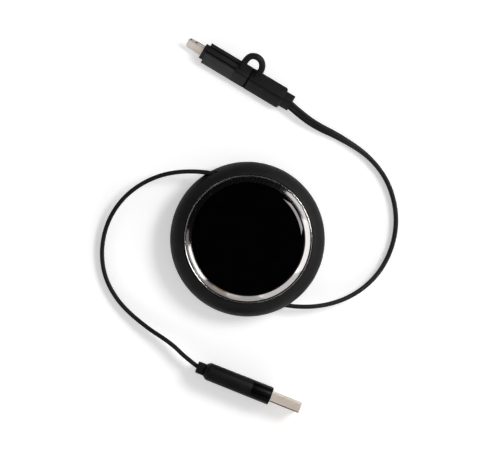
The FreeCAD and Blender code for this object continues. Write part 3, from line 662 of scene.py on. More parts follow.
def smooth_route(name: str, controls: Sequence[Point]) -> list[Vector]:
    """Points read from a NURBS spline.

    Args:
        name: name of the temporary curve.
        controls: the spline's control points, in metres.

    Returns:
        The points, in metres.
    """
    curve = bpy.data.curves.new(name, "CURVE")
    curve.dimensions = "3D"
    curve.resolution_u = ROUTE_STEPS
    spline = curve.splines.new("NURBS")
    spline.points.add(len(controls) - 1)
    for control, place in zip(spline.points, controls):
        control.co = (*place, 1.0)
    # These follow the points: set before them, they leave the spline at straight runs.
    spline.order_u = 3
    spline.use_endpoint_u = True
    holder = link(name, curve)
    mesh = bpy.data.meshes.new_from_object(holder)
    points = [vertex.co.copy() for vertex in mesh.vertices]
    bpy.data.objects.remove(holder)
    bpy.data.curves.remove(curve)
    bpy.data.meshes.remove(mesh)
    return points


@dataclass(frozen=True)
class Stride:
    """One point of a route: its place, the direction there, and how far both ends are."""

    place: Vector
    along: Vector
    run: float
    rest: float


def strides(points: Sequence[Vector]) -> list[Stride]:
    """Walk a row of points.

    Args:
        points: the points in order.

    Returns:
        One stride per point.
    """
    runs = [0.0]
    for before, after in zip(points, points[1:]):
        runs.append(runs[-1] + (after - before).length)
    walked = []
    for index, (point, run) in enumerate(zip(points, runs)):
        ahead = points[min(index + 1, len(points) - 1)]
        behind = points[max(index - 1, 0)]
        walked.append(Stride(point, (ahead - behind).normalized(), run, runs[-1] - run))
    return walked


def upright(place: Vector, along: Vector, side: Vector, rise: Vector) -> Matrix:
    """A frame at a place from its three axes."""
    return Matrix.Translation(place) @ Matrix((along, side, rise)).transposed().to_4x4()


@dataclass(frozen=True)
class Station:
    """One rounded section of a moulded bar: place on the axis, width, thickness and corner."""

    x: float
    width: float
    thickness: float
    corner: float

    def at(self, x: float) -> "Station":
        """The same section at another place on the axis."""
        return replace(self, x=x)

    def ring(self, bm: BMesh) -> list[BMEdge]:
        """Draw the section, a rectangle with rounded corners.

        Args:
            bm: the bmesh to draw in.

        Returns:
            The closed loop of edges.
        """
        known = set(bm.edges)
        corners = []
        for side_y, side_z in ((0.5, 0.5), (-0.5, 0.5), (-0.5, -0.5), (0.5, -0.5)):
            place = (self.x, side_y * self.width, side_z * self.thickness)
            corners.append(bm.verts.new(place))
        for before, after in zip(corners, corners[1:] + corners[:1]):
            bm.edges.new((before, after))
        soften(bm, corners, self.corner, RING_SEGMENTS, Rounding.CORNERS)
        return [edge for edge in bm.edges if edge not in known]

    def rounded(self, radius: float, end: End, steps: int = END_STEPS) -> list["Station"]:
        """Sections of a rounded end edge.

        Args:
            radius: radius of the edge.
            end: the end of the bar that it goes round.
            steps: number of steps round the edge.

        Returns:
            The sections in the order of their x.
        """
        made = []
        for step in range(steps + 1):
            angle = math.radians(90.0) * step / steps
            cut = radius * (1.0 - math.sin(angle))
            x = self.x + end.value * radius * (1.0 - math.cos(angle))
            corner = max(self.corner - cut, LEAST_CORNER)
            made.append(Station(x, self.width - 2.0 * cut, self.thickness - 2.0 * cut, corner))
        return made if end is End.REAR else made[::-1]


def moulded_bar(stations: Sequence[Station]) -> BMesh:
    """Join rounded sections one after the other and close both ends.

    Args:
        stations: the sections in the order of their x.

    Returns:
        The closed bar as a bmesh.
    """
    bm = bmesh.new()
    loops = [station.ring(bm) for station in stations]
    for before, after in zip(loops, loops[1:]):
        bmesh.ops.bridge_loops(bm, edges=before + after)
    for end in (loops[0], loops[-1]):
        bmesh.ops.holes_fill(bm, edges=end)
    tidy(bm)
    return bm


def soft_block(low: Point, high: Point, soft: float) -> BMesh:
    """A box between two corners with rounded edges.

    Args:
        low: the corner with the smallest coordinates.
        high: the corner with the largest coordinates.
        soft: width of the rounding.

    Returns:
        The box as a bmesh.
    """
    bm = bmesh.new()
    bmesh.ops.create_cube(bm, size=1.0)
    size = Vector(high) - Vector(low)
    bmesh.ops.scale(bm, vec=size, verts=bm.verts)
    soften(bm, bm.edges[:], soft, EDGE_SEGMENTS)
    bmesh.ops.translate(bm, vec=Vector(low) + size / 2.0, verts=bm.verts)
    return bm


@dataclass
class ReelCase:
    """The round case: base and lid, with the slots that the two cables leave by."""

    radius: float = 32.85
    wall: float = 1.6
    parting: float = 10.0
    seam: float = 0.16
    base_radius: float = 26.0
    base_soft: float = 0.5
    lid_edge: float = 27.1
    lid_height: float = 18.1
    lid_lip: float = 0.8
    lid_hole: float = 1.05
    rim_soft: float = 0.15
    bezel_gap: float = 0.35
    seat: float = 17.2
    ceiling: float = 16.2
    floor: float = 1.8
    post_steps: tuple[tuple[float, float], ...] = (
        (5.5, 3.5), (4.0, 5.2), (3.2, 13.8), (2.6, 16.2),
    )
    slot_width: float = 2.8
    slot_reach: float = 8.0
    slot_round: float = 0.9
    slot_top: float = 15.1
    slot_bottom: float = 4.9
    slot_overlap: float = 1.2
    slot_segments: int = 5
    exit_point: tuple[float, float] = (-16.5, 27.9)
    exit_heading: float = 173.4
    lid_steps: int = 28
    base_steps: int = 24
    inner_steps: int = 12
    steps: int = 288

    def _side(
        self, edge_radius: float, edge_height: float
    ) -> tuple[tuple[float, float], float]:
        """The arc of the side, which is upright at the parting plane.

        Args:
            edge_radius: radius of the edge where the arc ends.
            edge_height: height of that edge.

        Returns:
            The arc's centre, as radius and height, and its radius.
        """
        run = self.radius - edge_radius
        rise = abs(edge_height - self.parting)
        radius = (run * run + rise * rise) / (2.0 * run)
        return (self.radius - radius, self.parting), radius

    def _slot(self, low: float, high: float, opposite: bool) -> BMesh:
        """The rounded block that a cable's slot takes out of the case.

        Args:
            low: height of its lower side.
            high: height of its upper side.
            opposite: turned half round to the other side of the case.

        Returns:
            The block as a bmesh.
        """
        bm = bmesh.new()
        bmesh.ops.create_cube(bm, size=1.0)
        size = (2.0 * self.slot_reach, self.slot_width, high - low)
        bmesh.ops.scale(bm, vec=size, verts=bm.verts)
        spans = [(edge, edge.verts[0].co - edge.verts[1].co) for edge in bm.edges]
        long_edges = [edge for edge, span in spans if abs(span.x) > self.slot_reach]
        soften(bm, long_edges, self.slot_round, self.slot_segments)
        place = Matrix.Translation((*self.exit_point, (low + high) / 2.0))
        turn = Matrix.Rotation(math.pi if opposite else 0.0, 4, "Z")
        heading = Matrix.Rotation(math.radians(self.exit_heading), 4, "Z")
        bmesh.ops.transform(bm, matrix=turn @ place @ heading, verts=bm.verts)
        return bm

    def base(self) -> None:
        """The base with its soft side, the spool's post and the lower slot."""
        centre, radius = self._side(self.base_radius, 0.0)
        drop = math.degrees(math.asin(self.parting / radius))
        sink = math.degrees(math.asin((self.parting - self.floor) / (radius - self.wall)))
        outline = Turning(0.0, 0.0)
        outline.line(self.base_radius, 0.0, self.base_soft)
        outline.arc(centre, drop, self.base_steps, self.seam)
        outline.line(self.radius - self.wall, self.parting)
        outline.arc(centre, -sink, self.inner_steps)
        height = self.floor
        for post_radius, top in self.post_steps:
            outline.line(post_radius, height)
            outline.line(post_radius, top)
            height = top
        outline.line(0.0, height)
        slot = self._slot(self.slot_bottom, self.parting + self.slot_overlap, True)
        bm = carve(outline.turn(self.steps), slot)
        publish(bm, "reel_base", Body.REEL, [SOFT_TOUCH], ["lower_shell"])

    def lid(self) -> None:
        """The lid with its soft rim, the recess for the bezel and the upper slot."""
        centre, radius = self._side(self.lid_edge, self.lid_height)
        mouth = self.lid_edge + self.bezel_gap
        rim = math.degrees(math.acos((mouth - centre[0]) / radius))
        inner = radius - self.wall
        shoulder = math.asin((self.ceiling - self.parting) / inner)
        outline = Turning(self.radius, self.parting, self.seam)
        outline.arc(centre, rim, self.lid_steps, self.rim_soft)
        outline.line(mouth, self.seat)
        outline.line(self.lid_hole, self.seat)
        outline.line(self.lid_hole, self.ceiling)
        outline.line(centre[0] + inner * math.cos(shoulder), self.ceiling)
        outline.arc(centre, -math.degrees(shoulder), self.inner_steps)
        outline.line(self.radius - self.lid_lip, self.parting)
        slot = self._slot(self.parting - self.slot_overlap, self.slot_top, False)
        bm = carve(outline.turn(self.steps), slot)
        publish(bm, "reel_lid", Body.REEL, [SOFT_TOUCH], ["upper_shell"])

    def build(self) -> None:
        """Make the base and the lid."""
        self.base()
        self.lid()


@dataclass
class LidTrim:
    """The bright bezel and the domed disc that it frames."""

    bezel_radius: float = 27.0
    bead: float = 0.22
    groove_width: float = 0.36
    band_width: float = 2.1
    band_turn: float = 10.0
    ledge_width: float = 1.4
    seat: float = 17.2
    bead_foot: float = 18.35
    groove: float = 18.0
    crest: float = 19.5
    ledge: float = 18.3
    disc_radius: float = 24.0
    disc_edge: float = 19.65
    rim_radius: float = 7.0
    rim_turn: float = 26.0
    dome: float = 0.35
    bead_steps: int = 10
    band_steps: int = 12
    rim_steps: int = 28
    dome_steps: int = 14
    steps: int = 384

    def bezel(self) -> None:
        """The bezel: outer bead, fine groove, and a faintly rounded band that rises to the disc."""
        bead_inner = self.bezel_radius - 2.0 * self.bead
        band_outer = bead_inner - self.groove_width
        band_inner = band_outer - self.band_width
        bore = band_inner - self.ledge_width
        outline = Turning(bore, self.seat)
        outline.line(self.bezel_radius, self.seat)
        outline.line(self.bezel_radius, self.bead_foot)
        bead_centre = (self.bezel_radius - self.bead, self.bead_foot)
        outline.arc(bead_centre, 180.0, self.bead_steps)
        outline.line(bead_inner, self.groove)
        outline.line(band_outer, self.groove)
        outline.line(band_outer, self.bead_foot)
        # The band is an arc over its chord, so its centre lies far below the chord's middle.
        rise = self.crest - self.bead_foot
        chord = math.hypot(self.band_width, rise)
        slope = math.atan2(rise, self.band_width)
        arm = chord / (2.0 * math.tan(math.radians(self.band_turn / 2.0)))
        centre = (
            band_outer - self.band_width / 2.0 - arm * math.sin(slope),
            self.bead_foot + rise / 2.0 - arm * math.cos(slope),
        )
        outline.arc(centre, self.band_turn, self.band_steps)
        outline.line(band_inner, self.ledge)
        outline.line(bore, self.ledge)
        bm = outline.turn(self.steps)
        publish(bm, "bright_bezel", Body.REEL, [CHROME], ["chrome_bezel"])

    def disc(self) -> None:
        """The domed disc with its round rim."""
        turn = math.radians(self.rim_turn)
        dome_edge = self.disc_radius - self.rim_radius * math.sin(turn)
        centre = (dome_edge, self.disc_edge - self.rim_radius * math.cos(turn))
        dome_radius = (dome_edge ** 2 + self.dome ** 2) / (2.0 * self.dome)
        dome_centre = (0.0, centre[1] + self.rim_radius + self.dome - dome_radius)
        dome_turn = math.degrees(math.asin(dome_edge / dome_radius))
        outline = Turning(0.0, self.ledge)
        outline.line(self.disc_radius, self.ledge)
        outline.line(self.disc_radius, self.disc_edge)
        outline.arc(centre, self.rim_turn, self.rim_steps)
        outline.arc(dome_centre, dome_turn, self.dome_steps)
        bm = outline.turn(self.steps)
        publish(bm, "black_disc", Body.REEL, [GLOSS], ["gloss_disc"])

    def build(self) -> None:
        """Make the bezel and the disc."""
        self.bezel()
        self.disc()


@dataclass
class UsbPlug:
    """The USB plug's moulded pieces, grip and glossy sleeve, and a strip of painted shade along the
    edge of its metal.
    """

    lie: Lie
    collar: Station = Station(0.0, 8.0, 5.0, 1.2)
    collar_reach: float = 5.0
    rear: Station = Station(3.65, 12.7, 5.15, 2.3)
    shoulder: Station = Station(5.05, 15.0, 7.45, 3.35)
    split: Station = Station(24.65, 15.0, 7.65, 3.44)
    front: Station = Station(33.45, 15.0, 7.65, 3.44)
    collar_edge: float = 0.35
    rear_edge: float = 0.3
    split_edge: float = 0.12
    front_edge: float = 0.3
    # A dark strip along one edge of the metal shell's top, as painted shade.
    edge_shade_low: Point = (33.6, 5.96, 1.78)
    edge_shade_high: Point = (46.6, 6.01, 2.16)
    edge_shade_soft: float = 0.01

    def grip(self) -> None:
        """The grip: a flat collar for the lead, and a body with a bevelled rear."""
        collar = moulded_bar([
            *self.collar.rounded(self.collar_edge, End.REAR), self.collar.at(self.collar_reach),
        ])
        body = moulded_bar([
            self.rear, self.shoulder, *self.split.rounded(self.split_edge, End.FRONT),
        ])
        closed = [edge for edge in body.edges if edge.is_manifold]
        ridges = [edge for edge in closed if edge.calc_face_angle(0.0) > SHARP_ANGLE]
        soften(body, ridges, self.rear_edge, EDGE_SEGMENTS)
        bm = self.lie.lay(merged([collar, body]))
        publish(bm, "usb_grip", Body.REEL, [GRIP], ["usb_plug_housing"])

    def sleeve(self) -> None:
        """The glossy sleeve round the metal shell."""
        bm = self.lie.lay(moulded_bar([
            *self.front.at(self.split.x).rounded(self.split_edge, End.REAR),
            *self.front.rounded(self.front_edge, End.FRONT),
        ]))
        publish(bm, "usb_sleeve", Body.REEL, [SLEEVE], ["usb_plug_sleeve"])

    def seam(self) -> None:
        """A dark strip of painted shade along one edge of the metal shell's top."""
        bm = self.lie.lay(soft_block(self.edge_shade_low, self.edge_shade_high, self.edge_shade_soft))
        publish(bm, "usb_shell_edge_shade", Body.REEL, [PAINTED_SHADE])

    def build(self) -> None:
        """Make the grip, the sleeve and the strip of painted shade."""
        self.grip()
        self.sleeve()
        self.seam()


@dataclass
class PhonePlug:
    """The phone end: the micro plug's grip, the adapter's body and nose, and the tab's plate and
    painted shade.
    """

    lie: Lie
    collar: Station = Station(0.0, 7.4, 4.5, 1.0)
    collar_reach: float = 5.4
    collar_edge: float = 0.25
    grip_rear: Station = Station(4.1, 9.2, 6.7, 1.3)
    grip_front: Station = Station(20.92, 9.2, 6.7, 1.3)
    gap_shade_filler: Station = Station(21.49, 8.98, 6.44, 1.15)
    sleeve_rear: Station = Station(21.5, 9.2, 6.6, 1.2)
    block_rear: Station = Station(27.9, 8.8, 6.6, 1.0)
    block_front: Station = Station(42.15, 8.8, 6.6, 1.0)
    nose_front: Station = Station(43.95, 8.0, 3.95, 1.0)
    rear_round: float = 1.2
    rear_steps: int = 8
    edge: float = 0.12
    block_edge: float = 0.25
    overcut: float = 1.0
    groove_width: float = 1.05
    groove_depth: float = 1.1
    groove_soft: float = 0.1
    groove_middles: tuple[float, float] = (-0.6, 2.32)
    ridge_height: float = 2.95
    ridge_start: float = -3.45
    socket_width: float = 7.7
    socket_height: float = 2.65
    socket_depth: float = 6.3
    socket_soft: float = 0.3
    panel_low: Point = (44.27, -2.58, 0.655)
    panel_high: Point = (47.78, 2.58, 0.70)
    panel_soft: float = 0.008
    # Painted shade on the tab: the detent's shadow, the shaded line along the edge, and a dark
    # reflection near the tip.
    detent_shadow_low: Point = (47.7, -3.29, -0.42)
    detent_shadow_high: Point = (48.2, -2.95, 0.22)
    detent_shadow_soft: float = 0.1
    line_low: Point = (44.0, -3.32, -0.58)
    line_high: Point = (47.7, -3.1, -0.12)
    line_soft: float = 0.04
    spot: Point = (50.5, -3.0, 0.1)
    spot_radius: float = 0.38
    spot_subdivisions: int = 3

    def grip(self) -> None:
        """The grip: a flat collar, a body with a rounded rear, and a filler at its mouth,
        near-black as painted shade in the gap.
        """
        finishes = (SATIN, GAP_SHADE)
        joint = self.grip_front.x - self.edge
        collar = moulded_bar([
            *self.collar.rounded(self.collar_edge, End.REAR), self.collar.at(self.collar_reach),
        ])
        body = moulded_bar([
            *self.grip_rear.rounded(self.rear_round, End.REAR, self.rear_steps),
            *self.grip_front.rounded(self.edge, End.FRONT),
        ])
        # The body's front end is painted near-black as the shade of the gap; the filler in the gap
        # is all painted shade.
        paint(body, finishes, lambda middle: GAP_SHADE if middle.x > joint else SATIN)
        gap_shade_filler = moulded_bar([self.gap_shade_filler.at(joint), self.gap_shade_filler])
        paint(gap_shade_filler, finishes, lambda middle: GAP_SHADE)
        bm = self.lie.lay(merged([collar, body, gap_shade_filler]))
        publish(bm, "micro_grip", Body.REEL, finishes, ["micro_plug_housing"])

    def _grooves(self) -> BMesh:
        """The four grip grooves along the block's narrow sides, as one cutter.

        Returns:
            The cutter's bmesh.
        """
        half = self.groove_width / 2.0
        side = self.block_rear.width / 2.0
        start = self.block_rear.x - self.overcut
        end = self.block_front.x + self.overcut
        tools = []
        for low in (side - self.groove_depth, -side - self.overcut):
            high = low + self.groove_depth + self.overcut
            for middle in self.groove_middles:
                near, far = (start, low, middle - half), (end, high, middle + half)
                tools.append(soft_block(near, far, self.groove_soft))
        return merged(tools)

    def _on_ridge(self, place: Vector) -> bool:
        """Whether a place is on the ridge along the block's upper edge, which gets a painted
        highlight.
        """
        return place.z > self.ridge_height and place.y < self.ridge_start

    def adapter(self) -> None:
        """The adapter's body: a rounded sleeve with its socket, and a block with grip grooves."""
        finishes = (ADAPTER, BLOCK, RIDGE_HIGHLIGHT, GAP_SHADE)
        rear = self.sleeve_rear.x
        joint = rear + self.edge
        sleeve_front = self.sleeve_rear.at(self.block_rear.x + self.edge)
        sleeve = moulded_bar([
            *self.sleeve_rear.rounded(self.edge, End.REAR),
            *sleeve_front.rounded(self.edge, End.FRONT),
        ])
        half_width = self.socket_width / 2.0
        half_height = self.socket_height / 2.0
        socket = soft_block(
            (rear - self.overcut, -half_width, -half_height),
            (rear + self.socket_depth, half_width, half_height), self.socket_soft,
        )
        sleeve = carve(sleeve, socket)
        # The sleeve's rear end at the gap to the micro plug is painted near-black as the shade of
        # the gap.
        paint(sleeve, finishes, lambda middle: GAP_SHADE if middle.x < joint else ADAPTER)
        block = moulded_bar([
            *self.block_rear.rounded(self.block_edge, End.REAR),
            *self.block_front.rounded(self.block_edge, End.FRONT),
        ])
        block = carve(block, self._grooves())
        # The upper ridge gets a painted highlight; the rest of the block keeps its own black.
        paint(block, finishes, lambda middle: RIDGE_HIGHLIGHT if self._on_ridge(middle) else BLOCK)
        bm = self.lie.lay(merged([sleeve, block]))
        publish(bm, "adapter_body", Body.ADAPTER, finishes, ["adapter_housing"])

    def nose(self) -> None:
        """The dark nose that the tab stands out of."""
        bm = self.lie.lay(moulded_bar([
            self.nose_front.at(self.block_front.x - self.edge),
            *self.nose_front.rounded(self.block_edge, End.FRONT),
        ]))
        publish(bm, "tab_nose", Body.ADAPTER, [NOSE], ["tab_collar"])

    def tab_panel(self) -> None:
        """The plain plate in the shallow panel of the tab's wide face."""
        bm = self.lie.lay(soft_block(self.panel_low, self.panel_high, self.panel_soft))
        publish(bm, "tab_panel", Body.ADAPTER, [TAB_PLATE])

    def tab_painted_shade(self) -> None:
        """Painted shade on the tab's narrow side: the detent's shadow, a shaded line along the
        edge, and a dark reflection near the tip.
        """
        finishes = (PAINTED_SHADE, TAB_EDGE_SHADE)
        spot = bmesh.new()
        bmesh.ops.create_icosphere(
            spot, subdivisions=self.spot_subdivisions, radius=self.spot_radius
        )
        bmesh.ops.translate(spot, vec=self.spot, verts=spot.verts)
        detent_shadow = soft_block(self.detent_shadow_low, self.detent_shadow_high, self.detent_shadow_soft)
        line = soft_block(self.line_low, self.line_high, self.line_soft)
        paint(line, finishes, lambda middle: TAB_EDGE_SHADE)
        bm = self.lie.lay(merged([spot, detent_shadow, line]))
        publish(bm, "tab_painted_shade", Body.ADAPTER, finishes)

    def build(self) -> None:
        """Make the grip, the adapter, the tab's plate and the tab's painted shade."""
        self.grip()
        self.adapter()
        self.nose()
        self.tab_panel()
        self.tab_painted_shade()


TETHER_ARCH = [
    (-2.5, -1.0),
    (-2.75, 1.6),
    (-2.9, 4.6),
    (-1.5, 7.4),
    (1.2, 8.6),
    (4.0, 7.4),
    (5.0, 4.2),
    (4.7, 1.2),
    (4.5, -1.0),
]


@dataclass
class Tether:
    """The rubber loop from the micro plug to the adapter, which leans off their narrow side."""

    lie: Lie
    seam: float = 21.25
    side: float = 4.6
    lean: float = 24.0
    tube: float = 1.38
    flare: float = 0.35
    flare_run: float = 2.4
    steps: int = 24

    def _place(self, along: float, height: float) -> Vector:
        """A point of the loop's plane on the table.

        Args:
            along: its distance from the seam along the plug.
            height: its height over the plug's narrow side.

        Returns:
            The point, in millimetres.
        """
        lean = math.radians(self.lean)
        out, down = height * math.cos(lean), height * math.sin(lean)
        return self.lie.matrix() @ Vector((self.seam + along, -self.side - out, -down))

    def _section(self) -> list[tuple[float, float]]:
        """The round section.

        Returns:
            Points across the loop.
        """
        circle = bmesh.new()
        bmesh.ops.create_circle(circle, segments=self.steps, radius=self.tube)
        section = [(vert.co.x, vert.co.y) for vert in circle.verts]
        circle.free()
        return section

    def build(self) -> None:
        """Sweep the section along the loop, wider at both roots."""
        controls = [tuple(self._place(along, height) * MM) for along, height in TETHER_ARCH]
        points = [point / MM for point in smooth_route("tether_route", controls)]
        root = self._place(0.0, 0.0)
        across = (self._place(0.0, 1.0) - root).cross(self._place(1.0, 0.0) - root)
        frames = []
        for stride in strides(points):
            rise = stride.along.cross(across).normalized()
            near = min(stride.run, stride.rest) / self.flare_run
            swell = Matrix.Scale(1.0 + self.flare * max(0.0, 1.0 - near) ** 2, 4)
            frames.append(upright(stride.place, stride.along, across, rise) @ swell)
        bm = sweep(self._section(), frames)
        piece = publish(bm, "tether_loop", None, [RUBBER], ["tether_strap"])
        start = self._place(TETHER_ARCH[0][0] + self.tube, 0.0) * MM
        end = self._place(TETHER_ARCH[-1][0] - self.tube, 0.0) * MM
        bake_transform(piece)


USB_LENGTH = 0.157
USB_ROUTE = [
    (0.00694, 0.02214, 0.0126),
    (-0.00856, 0.027, 0.0126),
    (-0.0255, 0.0293, 0.012),
    (-0.0406, 0.0264, 0.009),
    (-0.0536, 0.0174, 0.0054),
    (-0.0611, 0.0038, 0.0029),
    (-0.062, -0.0121, 0.0021),
    (-0.0559, -0.0257, 0.0024),
    (-0.0443, -0.0365, 0.0039),
    (-0.032, -0.0444, 0.0062),
    (-0.0261, -0.0504, 0.0073),
    (-0.02, -0.05485, 0.0075),
]
USB_PIECES = [
    "usb_grip", "usb_sleeve", "usb_shell_edge_shade", "usb_plug_shell", "usb_plug_tongue",
    "usb_plug_contacts",
]

PHONE_LENGTH = 0.165
PHONE_ROUTE = [
    (-0.00694, -0.02214, 0.0074),
    (0.00856, -0.027, 0.0074),
    (0.0255, -0.0294, 0.0072),
    (0.04085, -0.0265, 0.0054),
    (0.0535, -0.0184, 0.0034),
    (0.0616, -0.0062, 0.0023),
    (0.0645, 0.0086, 0.0021),
    (0.0612, 0.0235, 0.0021),
    (0.0528, 0.0351, 0.0023),
    (0.0401, 0.0437, 0.0029),
    (0.03, 0.0486, 0.004),
    (0.02305, 0.05355, 0.0049),
    (0.01783, 0.05826, 0.00514),
]
PHONE_PIECES = [
    "micro_grip", "micro_plug_shell", "micro_plug_latches", "micro_plug_tongue",
    "micro_plug_contacts", "adapter_body", "adapter_socket_shell", "adapter_socket_tongue",
    "adapter_socket_contacts", "adapter_board", "tab_nose", "tab_panel", "tab_painted_shade",
    "phone_tab", "phone_tab_contacts",
]


@dataclass
class FlatLead:
    """A flat twin-lobed lead that stands on edge and follows its route as one smooth curve."""

    name: str
    node: str
    route: Sequence[Point]
    length: float
    plug_pieces: list[str]
    final_lean: float = 0.0
    lean_run: float = 50.0
    pivot: float = 0.7
    width: float = 3.8
    thickness: float = 1.85
    groove: float = 0.60
    lobe_power: float = 3.0
    lobe_steps: int = 14

    def _section(self) -> list[tuple[float, float]]:
        """The outline: two fat lobes that meet in a shallow groove on each flat side.

        Returns:
            Points across the lead, as sideways and upward distances.
        """
        half_width = self.width / 2.0
        half_thickness = self.thickness / 2.0
        lobe = half_width / 2.0
        side: list[tuple[float, float]] = []
        for step in range(self.lobe_steps * 2 + 1):
            angle = math.pi * (step / self.lobe_steps - 1.0)
            rise = half_width * math.sin(angle / 2.0)
            off = min(1.0, abs(abs(rise) - lobe) / lobe)
            full = half_thickness * (1.0 - off ** self.lobe_power) ** (1.0 / self.lobe_power)
            web = half_thickness * self.groove if abs(rise) < lobe else 0.0
            side.append((max(full, web), rise))
        return side + [(-y, z) for y, z in reversed(side[1:-1])]

    def _frames(self, points: Sequence[Vector]) -> list[Matrix]:
        """One frame per point, upright until the lead leans over to meet its plug.

        Args:
            points: the smooth route in millimetres.

        Returns:
            The frames.
        """
        frames = []
        for stride in strides(points):
            side = UP.cross(stride.along).normalized()
            rise = stride.along.cross(side)
            # The lean eases in, and turns the lead about a line a little above its middle.
            share = max(0.0, 1.0 - stride.rest / self.lean_run)
            lean = math.radians(self.final_lean) * share * share * (3.0 - 2.0 * share)
            leaned_rise = rise * math.cos(lean) + side * math.sin(lean)
            leaned_side = side * math.cos(lean) - rise * math.sin(lean)
            place = stride.place + self.pivot * (rise - leaned_rise)
            frames.append(upright(place, stride.along, leaned_side, leaned_rise))
        return frames

    def build(self) -> None:
        path = smooth_route(self.name + "_route", self.route)
        bm = sweep(self._section(), self._frames([point / MM for point in path]))
        piece = publish(bm, self.name, Body.REEL, [JACKET], [self.node])


CARRIED = {
    "case_screw": STEEL,
    "cable_spool": SPOOL,
    "spool_cap": SPOOL,
    "power_spring": STEEL,
    "upper_winding": JACKET,
    "lower_winding": JACKET,
    "ratchet_pawl": TONGUE,
    "usb_plug_shell": NICKEL,
    "usb_plug_tongue": TONGUE,
    "usb_plug_contacts": GOLD,
    "micro_plug_shell": NICKEL,
    "micro_plug_latches": NICKEL,
    "micro_plug_tongue": TONGUE,
    "micro_plug_contacts": GOLD,
    "adapter_socket_shell": NICKEL,
    "adapter_socket_tongue": TONGUE,
    "adapter_socket_contacts": GOLD,
    "adapter_board": BOARD,
    "phone_tab": TAB_METAL,
    "phone_tab_contacts": GOLD,
}


def dress(nodes: dict[str, Finish]) -> None:
    """Give the CAD nodes that stay their finishes.

    Args:
        nodes: a finish for each node's name.
    """
    for name, finish in nodes.items():
        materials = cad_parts[name].data.materials
        materials.clear()
        materials.append(finish.material())
        log.info("%s: CAD node in %s", name, finish.name)


@dataclass(frozen=True)
class Panel:
    """A soft light panel that faces the object."""

    name: str
    azimuth: float
    elevation: float
    distance: float
    width: float
    height: float
    radiance: float
    tint: Colour = (1.0, 1.0, 1.0)

    def build(self, target: Vector) -> None:
        """Hang the panel.

        Args:
            target: the point that it faces.
        """
        light = bpy.data.lights.new(self.name, "AREA")
        light.shape = "RECTANGLE"
        light.size = self.width
        light.size_y = self.height
        light.energy = self.radiance * math.pi * self.width * self.height
        light.color = self.tint
        lamp = link(self.name, light)
        azimuth = math.radians(self.azimuth)
        elevation = math.radians(self.elevation)
        level = math.cos(elevation)
        east, north = math.cos(azimuth) * level, math.sin(azimuth) * level
        towards = Vector((east, north, math.sin(elevation)))
        lamp.location = target + towards * self.distance
        lamp.rotation_euler = towards.to_track_quat("Z", "Y").to_euler()
        lamp.visible_camera = False


